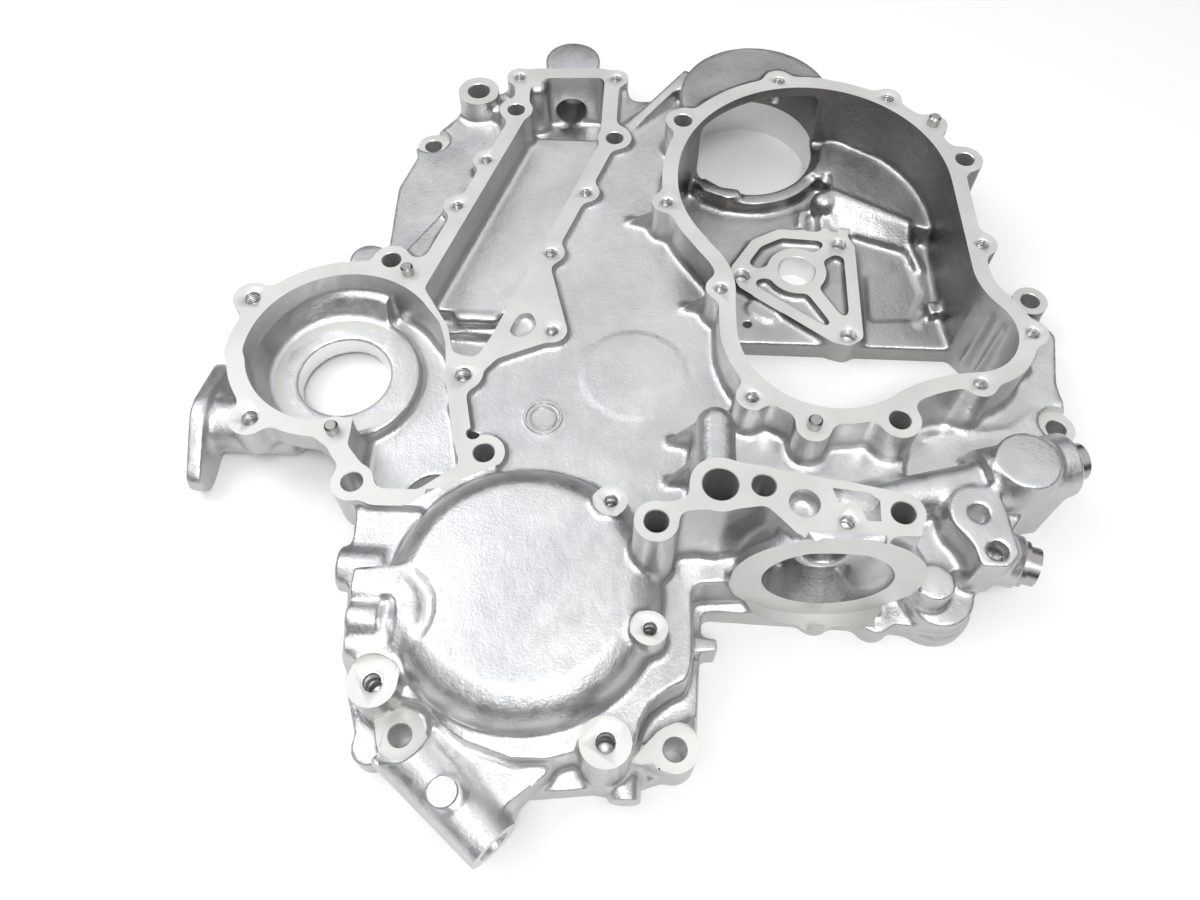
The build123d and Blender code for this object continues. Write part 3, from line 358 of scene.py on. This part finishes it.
casting_points[at_height(0.0), 2] -= STOCK
for level, outline in FLAT_FACES:
    casting_points[at_height(level) & within(drawn_points, outline), 2] += STOCK
for (x, y), radius, level in BOSS_FACES:
    on_boss = np.hypot(drawn_points[:, 0] - x, drawn_points[:, 1] - y) < radius + BOSS_MARGIN
    casting_points[at_height(level) & on_boss, 2] += STOCK
filter_x, filter_y, filter_z = FILTER_FACE
from_filter = np.hypot(drawn_points[:, 0] - filter_x, drawn_points[:, 2] - filter_z)
on_filter = (np.abs(drawn_points[:, 1] - filter_y) < ON_FACE) & (from_filter < FILTER_FACE_R + FILTER_MARGIN)
casting_points[on_filter, 1] -= STOCK
from_nozzle = drawn_points - np.array(NOZZLE_END)
on_nozzle = np.abs(from_nozzle @ np.array(NOZZLE_WAY)) < 5.0 * ON_FACE
on_nozzle &= np.linalg.norm(from_nozzle, axis=1) < NOZZLE_R
casting_points[on_nozzle] += np.float32(STOCK) * np.array(NOZZLE_WAY, np.float32)

grid_low = casting_points.min(axis=0) - GRID_MARGIN
grid_steps = np.ceil((casting_points.max(axis=0) + GRID_MARGIN - grid_low) / VOXEL)
grid_shape = tuple(int(n) for n in grid_steps)
cast_field = level_set(casting_points, grid_low, grid_shape, triangles=casting_triangles)


def window(low, high):
    """Part of the grid that covers a box in millimetres, and where its points lie."""
    first = ((np.array(low) - grid_low) / VOXEL).astype(int) - WINDOW_MARGIN
    last = ((np.array(high) - grid_low) / VOXEL).astype(int) + WINDOW_MARGIN + 1
    start, stop = np.clip(first, 0, None), np.minimum(last, grid_shape)
    part = tuple(slice(a, b) for a, b in zip(start, stop))
    x, y, z = (grid_low[k] + VOXEL * np.arange(start[k], stop[k]) for k in range(3))
    return part, x[:, None, None], y[None, :, None], z[None, None, :]


def add(part, distance):
    """Lays metal on the casting where the distance to a shape is negative."""
    cast_field[part] = np.minimum(cast_field[part], distance)


def dig(part, distance):
    """Leaves a hollow in the casting where the distance to a shape is negative."""
    cast_field[part] = np.maximum(cast_field[part], -distance)


def rod(start, end, start_radius, end_radius=None):
    """Round rod with ball ends, tapering when the radii differ."""
    end_radius = start_radius if end_radius is None else end_radius
    start, end = np.array(start, float), np.array(end, float)
    reach = max(start_radius, end_radius)
    part, x, y, z = window(np.minimum(start, end) - reach, np.maximum(start, end) + reach)
    way = end - start
    along = (x - start[0]) * way[0] + (y - start[1]) * way[1] + (z - start[2]) * way[2]
    along = np.clip(along / max(way @ way, 1e-9), 0.0, 1.0)
    off = np.sqrt((x - start[0] - along * way[0]) ** 2 + (y - start[1] - along * way[1]) ** 2
                  + (z - start[2] - along * way[2]) ** 2)
    return part, off - (start_radius + along * (end_radius - start_radius))


def slab(outline, low, high):
    """Flat slab with an outline seen from above, between two heights."""
    corners = np.array(outline, float)
    part, x, y, z = window((*corners.min(axis=0), low), (*corners.max(axis=0), high))
    x, y = np.broadcast_arrays(x[:, :, 0], y[:, :, 0])
    nearest = np.full(x.shape, EVERYWHERE)
    inside = np.zeros(x.shape, bool)
    for (ax, ay), (bx, by) in zip(corners, np.roll(corners, -1, axis=0)):
        along = ((x - ax) * (bx - ax) + (y - ay) * (by - ay)) / ((bx - ax) ** 2 + (by - ay) ** 2)
        along = np.clip(along, 0, 1)
        off = np.hypot(x - ax - along * (bx - ax), y - ay - along * (by - ay))
        nearest = np.minimum(nearest, off)
        if ay != by:
            inside ^= ((y < ay) != (y < by)) & (x < ax + (y - ay) * (bx - ax) / (by - ay))
    side = np.where(inside, -nearest, nearest)[:, :, None]
    cap = np.maximum(low - z, z - high)
    both = np.hypot(np.maximum(side, 0), np.maximum(cap, 0))
    return part, both + np.minimum(np.maximum(side, cap), 0)


# Inside the gear window: a ball and two short posts beside the pump bore
BALL = (16.2, 44.0, 17.0)
add(*rod(BALL, BALL, 7.0))
add(*rod((16.4, 42.0, 13.0), (16.6, 31.0, 11.0), 4.2, 3.6))
add(*rod((5.5, 40.0, 12.0), (4.7, 33.0, 11.0), 3.2, 3.0))

# A sloping wall behind the idler pad, with the floor raised behind it and a fin at its end
SLOPE_TOP = np.array([(19.5, 47.4, 21.0), (56.9, 27.1, 21.0)])
SLOPE_FOOT = np.array([(24.0, 32.2, 12.5), (57.8, 19.7, 12.5)])
for share in np.linspace(0.0, 1.0, 6):
    add(*rod(*(SLOPE_TOP + share * (SLOPE_FOOT - SLOPE_TOP)), 3.0))
add(*slab([(20, 50), (57, 30), (66, 24), (70, 30), (66, 48), (50, 68), (30, 80), (22, 84)], 8.0, 22.0))
add(*rod((57.0, 26.0, 14.0), (64.0, 6.0, 10.5), 3.0, 2.0))

# Small blocks and a fin on the floor, and the raised ends of the crescent
add(*slab([(60, 29.5), (65.5, 29.5), (65.5, 24), (60, 24)], 8.0, 17.5))
add(*slab([(62.5, -19), (67, -18), (69, -25), (64, -27)], 8.0, 16.0))
add(*rod((60.0, -29.0, 10.0), (69.0, -18.0, 11.0), 1.6))
add(*slab([(-29.0, 49.5), (-28.0, 44.6), (-35.0, 42.3), (-48.0, 48.0), (-52.0, 55.0), (-47.0, 57.0),
           (-38.5, 50.5)], 12.0, 21.0))
add(*slab([(9.5, 63.5), (15.0, 60.0), (22.0, 71.0), (24.0, 84.0), (16.5, 84.0), (14.0, 72.0)],
          12.0, 21.0))

# Upright ribs on the right wall of the window
for x, y in ((74.3, -42.5), (78.9, -50.5), (83.6, -58.0)):
    add(*rod((x, y, 8.0), (x + 0.6, y, 46.0), 1.9, 1.6))

# On the right shoulder: low ridges between the bolt columns
add(*rod((48.0, -105.6, 25.5), (86.0, -100.2, 25.5), 2.4))
add(*rod((86.0, -100.2, 25.5), (98.5, -90.0, 25.5), 2.4, 2.0))

# The round cover has a broad soft edge all the way round its top
COVER_SPOT = (-122.0, -190.0)
COVER_FLAT_R = 37.5
COVER_EDGE_R = 17.0
COVER_SHELL = 5.0
COVER_FOOT = 33.0
cover_part, x, y, z = window((-178, -246, 30), (-66, -134, 56))
outwards = np.maximum(np.hypot(x - COVER_SPOT[0], y - COVER_SPOT[1]) - COVER_FLAT_R, 0)
from_edge = np.hypot(outwards, np.maximum(z - COVER_FOOT, 0))
cover_shell = np.maximum(from_edge - COVER_EDGE_R, COVER_EDGE_R - COVER_SHELL - from_edge)
add(cover_part, np.maximum(cover_shell, COVER_FOOT - z))

# The lower left ports: a stepped pipe on the left of the round cover, with a hollow behind it
# and a groove round its end
PORT_HOLLOW = [(-193, -197.5), (-171, -197.5), (-167, -206), (-171, -226), (-193, -226)]
PORT_START = (-186.0, -205.5, 42.0)
PORT_END = (-173.5, -205.5, 42.0)
PORT_R = 6.8
PORT_LEFT = -187.5
PORT_RIGHT = -175.0
dig(*slab(PORT_HOLLOW, 43.5, 60.0))
port_part, port_distance = rod(PORT_START, PORT_END, PORT_R)
x = window(np.array(PORT_START) - PORT_R, np.array(PORT_END) + PORT_R)[1]
add(port_part, np.maximum(port_distance, np.maximum(PORT_LEFT - x, x - PORT_RIGHT)))
add(*rod((-160.5, -205.0, 36.5), (-158.0, -205.0, 36.0), 14.2))

GROOVE_SPOT = (-172.0, -203.5, 52.4)
GROOVE_REACH = 15.5
GROOVE_R = 4.4
GROOVE_START = 62.0
GROOVE_STEP = 11.0


def on_groove(k):
    """Point k of the groove's line, which goes clockwise round its centre."""
    turn = math.radians(GROOVE_START - GROOVE_STEP * k)
    x, y, z = GROOVE_SPOT
    return x + GROOVE_REACH * math.cos(turn), y + GROOVE_REACH * math.sin(turn), z


for k in range(12):
    dig(*rod(on_groove(k), on_groove(k + 1), GROOVE_R))

# Two of the corner bosses end in drop shaped tails
for tail in (LEFT_TAIL, RIGHT_TAIL):
    add(*slab(tail, 11.0, RIM_Z + STOCK))

# The pocket in the cooler face is cast solid here and cut crisp below, and metal is left
# between that face and the filter ring
COOLER_LIP = [(-18.0, -175.0), (10.0, -175.0), (10.0, -180.0), (-18.0, -180.0)]
L_POCKET = [(-7.4, -159.2), (6, -160.6), (9.6, -163.5), (9.2, -172.2), (4.2, -172.4), (2.6, -167.5),
            (-6, -165)]
add(*slab(COOLER_LIP, 64.0, COOLER_Z + STOCK))
add(*slab(L_POCKET, 58.0, COOLER_Z + STOCK))

# The oil filter cup: ribs between the hub and the wall of the cup
add(*rod((-13.0, -162.5, 31.0), (-20.0, -164.0, 22.0), 2.4))
add(*rod((4.0, -162.5, 29.0), (8.0, -164.0, 20.0), 2.4))
add(*rod((9.5, -166.0, 41.0), (20.0, -170.0, 41.0), 4.0))

# The pipe end at the front: a flat web beside it, down to the level of the drain
NOZZLE_WEB = [(-137.9, -254.6), (-134.0, -268.0), (-129.0, -277.0), (-121.5, -274.5),
              (-119.3, -266.6), (-106.5, -253.0)]
add(*slab(NOZZLE_WEB, 9.0, 22.0))

# The thermostat pocket and the trough: a bump in the corner, a rounded end of the floor, and
# the pit in the trough
TROUGH_PIT = [(-150, -44), (-149, -60), (-154, -75), (-162.5, -74), (-166.5, -60), (-178, -43.5)]
add(*rod((-139.5, 107.0, 12.0), (-139.5, 107.0, 33.0), 5.5))
add(*rod((-168.0, -38.5, 14.5), (-151.0, -38.5, 14.5), 3.2))
dig(*slab(TROUGH_PIT, 3.0, 20.0))

# Inner corners are filled by growing the skin and drawing it back
swollen_points, swollen_quads = skin_of(cast_field, FILLET, grid_low)
cast_field = level_set(swollen_points, grid_low, grid_shape, quads=swollen_quads) + FILLET
cast_field = blurred(cast_field, ROUNDING / VOXEL)

skin_points, skin_quads = skin_of(cast_field, 0.0, grid_low)
skin_mesh = bpy.data.meshes.new("gear_case_casting")
skin_mesh.from_pydata((skin_points * MM).tolist(), [], skin_quads[:, ::-1].tolist())
casting = bpy.data.objects.new("gear_case_casting", skin_mesh)
bpy.context.scene.collection.objects.link(casting)
for material in (as_cast_aluminium_painted_light, milled_aluminium, bored_aluminium):
    skin_mesh.materials.append(material)


def apply_modifiers(piece):
    """Turns what a piece's modifiers give into its mesh."""
    shaped = piece.evaluated_get(bpy.context.evaluated_depsgraph_get())
    made = bpy.data.meshes.new_from_object(shaped)
    piece.modifiers.clear()
    piece.data = made


thinner = casting.modifiers.new("thinner", "DECIMATE")
thinner.ratio = SKIN_TRIANGLES / (2.0 * len(skin_quads))
apply_modifiers(casting)


# The milling. Each joint face is cut flat from the raw casting, the round bosses get a spot
# face, and the filter seat and the nozzle are faced from their own sides.
CELL = 7.0
CELL_SHIFT = 0.37
FACE_CUT = 3.5 * STOCK
SPOT_CUT = 2.5 * STOCK
SPOT_MARGIN = 0.7
SEAT_MARGIN = 0.8
SEAT_CUT = 8.0
NOZZLE_CUTTER_R = 18.0
REAR_CUT = 20.0


def block(outline, low, high):
    """Closed prism over an outline in millimetres, its faces divided into cells of CELL."""
    mesh = bmesh.new()
    face = mesh.faces.new([mesh.verts.new((x * MM, y * MM, low * MM)) for x, y in outline])
    made = bmesh.ops.extrude_face_region(mesh, geom=[face])
    raised = [g for g in made["geom"] if isinstance(g, bmesh.types.BMVert)]
    bmesh.ops.translate(mesh, vec=(0, 0, (high - low) * MM), verts=raised)
    bmesh.ops.recalc_face_normals(mesh, faces=mesh.faces)
    for axis in (0, 1):
        values = [p[axis] for p in outline]
        for k in range(1, int((max(values) - min(values)) / CELL) + 1):
            spot = Vector((0, 0, 0))
            spot[axis] = (min(values) + (k - CELL_SHIFT) * CELL) * MM
            way = Vector((0, 0, 0))
            way[axis] = 1.0
            bmesh.ops.bisect_plane(mesh, geom=mesh.verts[:] + mesh.edges[:] + mesh.faces[:],
                                   dist=1e-7, plane_co=spot, plane_no=way)
    return mesh


def turned(profile, spot, way=(0, 0, 1), sides=40, closed=False):
    """Closed body of revolution. The profile is (radius, height) from the lowest end up."""
    mesh = bmesh.new()
    rings = []
    turns = [2 * math.pi * (k + 0.5) / sides for k in range(sides)]
    for radius, height in profile:
        if radius == 0:
            rings.append([mesh.verts.new((0, 0, height * MM))])
        else:
            rings.append([mesh.verts.new((radius * MM * math.cos(turn), radius * MM * math.sin(turn),
                                          height * MM)) for turn in turns])
    if closed:
        rings.append(rings[0])
    for lower, upper in zip(rings, rings[1:]):
        for k in range(sides):
            n = (k + 1) % sides
            corners = [lower[k % len(lower)], lower[n % len(lower)],
                       upper[n % len(upper)], upper[k % len(upper)]]
            mesh.faces.new(list(dict.fromkeys(corners)))
    for ring in (rings[0], rings[-1]):
        if len(ring) > 1 and not closed:
            mesh.faces.new(ring)
    bmesh.ops.recalc_face_normals(mesh, faces=mesh.faces)
    turn = Vector((0, 0, 1)).rotation_difference(Vector(way)).to_matrix().to_4x4()
    mesh.transform(Matrix.Translation(Vector(spot) * MM) @ turn)
    return mesh


def joined(tools):
    """One mesh of tools that stand clear of each other."""
    mesh = bmesh.new()
    for tool in tools:
        data = bpy.data.meshes.new("tool")
        tool.to_mesh(data)
        tool.free()
        mesh.from_mesh(data)
        bpy.data.meshes.remove(data)
    return mesh


def cut(piece, tool, material, operation="DIFFERENCE"):
    """Takes a closed tool off a piece, or joins it on, and gives its faces a material."""
    mesh = bpy.data.meshes.new("tool")
    tool.to_mesh(mesh)
    tool.free()
    mesh.materials.append(material)
    cutter = bpy.data.objects.new("tool", mesh)
    bpy.context.scene.collection.objects.link(cutter)
    cutting = piece.modifiers.new("cut", "BOOLEAN")
    cutting.operation = operation
    cutting.solver = "MANIFOLD"
    cutting.material_mode = "TRANSFER"
    cutting.object = cutter
    apply_modifiers(piece)
    bpy.data.objects.remove(cutter)


def cutter_disc(radius, depth, spot, way=(0, 0, 1), sides=40):
    """Round cutter that stands on a face and clears the stock over it."""
    return turned([(radius, 0.0), (radius, depth)], spot, way, sides)


cut(casting, block(REAR_FACE, -REAR_CUT, 0.0), milled_aluminium)
cut(casting, joined([block(outline, level, level + FACE_CUT) for level, outline in FLAT_FACES]),
    milled_aluminium)
cut(casting, joined([cutter_disc(radius + SPOT_MARGIN, SPOT_CUT, (x, y, level))
                     for (x, y), radius, level in BOSS_FACES]), milled_aluminium)
cut(casting, cutter_disc(FILTER_FACE_R + SEAT_MARGIN, SEAT_CUT, FILTER_FACE, (0, -1, 0), 90),
    milled_aluminium)
cut(casting, cutter_disc(NOZZLE_CUTTER_R, SEAT_CUT, NOZZLE_END, NOZZLE_WAY), milled_aluminium)


# The drilling. Screw holes run through from the milled faces, tapped holes are blind with a
# small countersink, and the bores have a broken edge. The hole lists give the centres.
SMALL_THREAD_R = 3.0
LARGE_THREAD_R = 4.0
SCREW_R = 4.5
DRIVE_TAPPED = [(-11, 95), (45, 84), (-69, 5), (-44, -47), (-32, -105), (65, -94), (92, -66), (78, -15)]
COOLANT_TAPPED = [(-150, 112), (-97, 113), (-162, 47), (-173, 14), (-109, 26), (-124, -15), (-120, -62)]
COVER_TAPPED = [(-89.4, -154.5), (-73.0, -207.0)]
PUMP_TAPPED = [(-158, -88), (-262, -49), (-248, -115)]
IDLER_TAPPED = [(23, 19), (-28, -4), (23, -40)]

# Tapped holes: centre, height of the face and depth
SMALL_THREAD = ([(spot, DRIVE_Z, 16.0) for spot in DRIVE_TAPPED]
                + [(spot, COOLANT_Z, 16.0) for spot in COOLANT_TAPPED]
                + [(spot, COVER_Z, 16.0) for spot in COVER_TAPPED] + [((-2.9, -172.6), COOLER_Z, 7.0)])
LARGE_THREAD = ([(spot, COOLANT_Z, 17.0) for spot in PUMP_TAPPED]
                + [(spot, PAD_Z, 7.0) for spot in IDLER_TAPPED]
                + [((-87.7, -249.1), COVER_Z, 18.0), ((-175.1, -228.9), CORNER_Z, 18.0)])

# Holes through the casting: radius, height of the face and centres
THROUGH = [(SCREW_R, DRIVE_Z, [(-61.1, 62.2), (78.1, 40.5), (28.7, -113.9)]),
           (SCREW_R, COOLANT_Z, [(-149.6, 85.4), (-95.9, 65.9), (-200.2, -23.1), (-197.9, -144.5),
                                 (-144.4, -128.1)]),
           (SCREW_R, RIM_Z, [(-195, 73), (111.2, -21.3), (109.4, -95.1), (-165.7, -243.5),
                             (-61.6, -244.2)]),
           (SCREW_R, COOLER_Z, [(-32.7, -159.2), (17.7, -168.3), (-72.4, -175.7)]),
           (6.7, COOLER_Z, [(-48.8, -159.4)]), (5.8, CORNER_Z, [(-170.8, 96.9)]),
           (9.3, PAD_Z, [(0, 0)]), (2.2, 10.0, [(-25.8, -32.5)])]

# Plain blind holes: radius, height of the face, depth and centres
BLIND = [(4.3, 44.0, 15.0, [(59.0, -150.3), (63.8, -166.9)]), (2.8, COOLANT_Z, 18.0, [(-150.0, -118.7)])]
EDGE_BREAK = 0.35
TAP_MOUTH = (0.3, 0.4)
BREAK_OUT = 2.0
DRILL_OVER = 3.0
POINT_SHARE = 0.5
COOLANT_PUMP = (-218.5, -76.5, 0)
COOLANT_BORE = [(21.8, -4.0), (21.8, 15.5), (22.4, 16.1)]
COOLANT_SEAT = [(32.5, 16.0), (32.5, 19.0)]
INJECTION_PUMP = (-23.0, 84.0, 0)
INJECTION_BORE = [(35.0, -4.0), (35.0, 20.0)]


def drill(spot, top, radius, depth=None, mouth=(EDGE_BREAK, EDGE_BREAK), sides=40):
    """Drill with a widened mouth that goes through, or down to a depth with a pointed end."""
    mouth_depth, mouth_width = mouth
    if depth is None:
        end = [(radius, -top - BREAK_OUT)]
    else:
        end = [(0, -depth - POINT_SHARE * radius), (radius, -depth)]
    wide = radius + mouth_width
    return turned(end + [(radius, -mouth_depth), (wide, 0.0), (wide, DRILL_OVER)], (*spot, top), sides=sides)


drills = [turned(COOLANT_BORE, COOLANT_PUMP, sides=96), turned(INJECTION_BORE, INJECTION_PUMP, sides=120)]
for radius, top, spots in THROUGH:
    drills += [drill(spot, top, radius) for spot in spots]
for radius, top, depth, spots in BLIND:
    drills += [drill(spot, top, radius, depth) for spot in spots]
for holes, radius in ((SMALL_THREAD, SMALL_THREAD_R), (LARGE_THREAD, LARGE_THREAD_R)):
    drills += [drill(spot, top, radius, depth, TAP_MOUTH, 32) for spot, top, depth in holes]
cut(casting, joined(drills), bored_aluminium)
cut(casting, turned(COOLANT_SEAT, COOLANT_PUMP, sides=96), milled_aluminium)

# The pocket in the cooler face and the square opening in the filter cup
CUP_OPENING = [(-9.5, -163.0), (3.5, -163.0), (3.5, -150.0), (-9.5, -150.0)]
cut(casting, joined([block(L_POCKET, 69.0, 80.0), block(CUP_OPENING, 17.0, 27.5)]), as_cast_aluminium_painted_light)

# Small crisp shapes: the two bare rings of the casting mark and the pad beside the nozzle
MARK_SPOT = (-120.9, -107.2, 0)
MARK_FOOT = 33.0
MARK_EDGE = 0.3
NOZZLE_PAD_SPOT = (-144.8, -265.6, 0)
NOZZLE_PAD = [(5.8, 27.0), (5.8, 35.6), (5.3, 36.1), (0, 36.1)]


def mark_ring(outer, inner, top):
    """Raised bare ring with broken edges."""
    shoulder = top - MARK_EDGE
    outside = [(outer, MARK_FOOT), (outer, shoulder), (outer - MARK_EDGE, top)]
    inside = [(inner + MARK_EDGE, top), (inner, shoulder), (inner, MARK_FOOT)]
    return turned(outside + inside, MARK_SPOT, sides=64, closed=True)


crisp_shapes = [mark_ring(8.6, 7.3, 35.2), mark_ring(6.2, 5.2, 35.0), turned(NOZZLE_PAD, NOZZLE_PAD_SPOT)]
cut(casting, joined(crisp_shapes), as_cast_aluminium_painted_light, "UNION")

# The skin keeps inside the box of the drawing, which the decimated surface passes by 0.1 mm
places = np.empty(3 * len(casting.data.vertices), np.float32)
casting.data.vertices.foreach_get("co", places)
places = np.clip(places.reshape(-1, 3), np.array(cad_low, np.float32), np.array(cad_high, np.float32))
casting.data.vertices.foreach_set("co", places.ravel())
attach(casting, "root")
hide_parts("gear_case")
casting.data.polygons.foreach_set("use_smooth", np.ones(len(casting.data.polygons), bool))
casting.data.set_sharp_from_angle(angle=math.radians(38))


# The screw threads in the tapped holes. They are a helical ridge left between the root
# diameter and the drilled core, cut by a tap into the casting itself.
THREAD_START = 0.5
RIDGE_SHARE = 0.52
SHORTEST_FULL_THREAD = 10.0


def thread_tree():
    """Helical ridge of a given size, repeated down from each point of the mesh."""
    group = bpy.data.node_groups.new("thread_turns", "GeometryNodeTree")
    group.interface.new_socket("Geometry", in_out="INPUT", socket_type="NodeSocketGeometry")
    for label in ("Root radius", "Pitch", "Turns", "Ridge"):
        group.interface.new_socket(label, in_out="INPUT", socket_type="NodeSocketFloat")
    group.interface.new_socket("Material", in_out="INPUT", socket_type="NodeSocketMaterial")
    group.interface.new_socket("Geometry", in_out="OUTPUT", socket_type="NodeSocketGeometry")
    tree = Tree(group)
    points = tree.node("NodeGroupInput", {}, out="Geometry")
    radius = points.output("Root radius")
    turns = points.output("Turns")
    height = points.output("Pitch") * turns
    helix = tree.node("GeometryNodeCurveSpiral", {}, {"Resolution": 20, "Rotations": turns, "Height": height,
                                                      "Start Radius": radius, "End Radius": radius})
    profile = tree.node("GeometryNodeCurvePrimitiveCircle", {}, {"Resolution": 4,
                                                                 "Radius": points.output("Ridge")})
    ridge = tree.node("GeometryNodeCurveToMesh", {}, {"Curve": helix, "Profile Curve": profile,
                                                      "Fill Caps": True})
    drop = tree.node("ShaderNodeCombineXYZ", {}, {"Z": height * -1.0})
    below = tree.node("GeometryNodeTransform", {}, {"Geometry": ridge, "Translation": drop})
    placed = tree.node("GeometryNodeInstanceOnPoints", {}, {"Points": points, "Instance": below})
    real = tree.node("GeometryNodeRealizeInstances", {}, placed)
    finished = tree.node("GeometryNodeSetMaterial", {}, {"Geometry": real,
                                                         "Material": points.output("Material")})
    tree.node("NodeGroupOutput", {}, finished)
    return group


def grown(name, places, tree, values):
    """Plain mesh object of what a tree makes at the places, in millimetres."""
    data = bpy.data.meshes.new(name)
    data.from_pydata([tuple(c * MM for c in place) for place in places], [], [])
    piece = bpy.data.objects.new(name, data)
    bpy.context.scene.collection.objects.link(piece)
    modifier = piece.modifiers.new(name, "NODES")
    modifier.node_group = tree
    for item in tree.interface.items_tree:
        if item.item_type == "SOCKET" and item.in_out == "INPUT" and item.name in values:
            modifier[item.identifier] = values[item.name]
    apply_modifiers(piece)
    return piece


turns_tree = thread_tree()
long_holes = [hole for hole in LARGE_THREAD if hole[2] > SHORTEST_FULL_THREAD]
short_holes = [hole for hole in LARGE_THREAD if hole[2] <= SHORTEST_FULL_THREAD]
for name, holes, radius, pitch, count in (("small_threads", SMALL_THREAD, SMALL_THREAD_R, 1.0, 12.0),
                                          ("large_threads", long_holes, LARGE_THREAD_R, 1.25, 11.0),
                                          ("short_threads", short_holes, LARGE_THREAD_R, 1.25, 4.0)):
    starts = [(x, y, top - THREAD_START) for (x, y), top, depth in holes]
    ridges = grown(name, starts, turns_tree,
                   {"Root radius": radius * MM, "Pitch": pitch * MM, "Turns": count,
                    "Ridge": RIDGE_SHARE * pitch * MM, "Material": bored_aluminium})
    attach(ridges, "root")


# The steel pieces: ground dowel pins pressed into the faces, zinc plated plugs screwed
# into the ends of the drilled oil ways, and their soft washers.
steel = Finish("ground_steel")
line = steel.noise(600.0, 2.0, 0.5, (0.3, 0.3, 4.0))
ground_steel = steel.surface(bump=(line, 0.1, 0.0001), Base_Color=(0.42, 0.41, 0.40, 1), Metallic=1.0,
                             Roughness=0.22 + 0.12 * line)
for name in ("dowel_pins", "gallery_plugs", "plug_washers"):
    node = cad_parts[name]
    node.data.materials.clear()
    node.data.materials.append(ground_steel)


# The table and the light: a white sheet under the case, a lamp beside the camera and one to
# the left, and a bright ceiling over a darker room.
TABLE_HALF = 3.0
floor_mesh = bmesh.new()
bmesh.ops.create_grid(floor_mesh, x_segments=1, y_segments=1, size=TABLE_HALF)
floor_data = bpy.data.meshes.new("table")
floor_mesh.to_mesh(floor_data)
floor_mesh.free()
paper = Finish("white_paper")
white_paper = paper.surface(Base_Color=(0.95, 0.95, 0.955, 1), Roughness=0.6)
floor_data.materials.append(white_paper)
floor = bpy.data.objects.new("table", floor_data)
bpy.context.scene.collection.objects.link(floor)

# Colours of the room from straight down, at 0, to straight up, at 1
ROOM = [(0.0, (0.03, 0.03, 0.032, 1)), (0.42, (0.05, 0.05, 0.052, 1)), (0.62, (1.02, 1.025, 1.03, 1)),
        (0.84, (1.04, 1.045, 1.05, 1)), (1.0, (0.76, 0.765, 0.775, 1))]
world = bpy.data.worlds.new("studio")
world.use_nodes = True
sky = Tree(world.node_tree)
direction = sky.node("ShaderNodeTexCoord", {}, out="Generated")
upright = {"Vector": direction, "Rotation": (0.0, math.radians(90.0), 0.0)}
height = sky.node("ShaderNodeTexGradient", {}, sky.node("ShaderNodeMapping", {}, upright))
room = sky.node("ShaderNodeValToRGB", {"stops": ROOM}, height)
background = sky.node("ShaderNodeBackground", {}, {"Color": room, "Strength": 1.0})
sky.node("ShaderNodeOutputWorld", {}, background)
bpy.context.scene.world = world

# Lamps: place, size, power and colour. Both point at the middle of the case.
LAMP_TARGET = Vector((-0.06, -0.06, 0.0))
for name, spot, size, power, colour in (("key", (0.0, -0.62, 1.1), 0.35, 6.0, (1.0, 0.995, 0.98)),
                                        ("fill", (-0.75, 0.1, 0.9), 0.5, 2.5, (0.97, 0.98, 1.0))):
    lamp = bpy.data.lights.new(name, "AREA")
    lamp.size = size
    lamp.energy = power
    lamp.color = colour
    holder = bpy.data.objects.new(name, lamp)
    holder.location = spot
    holder.rotation_euler = (LAMP_TARGET - Vector(spot)).to_track_quat("-Z", "Y").to_euler()
    bpy.context.scene.collection.objects.link(holder)
bpy.context.scene.view_settings.view_transform = "Standard"
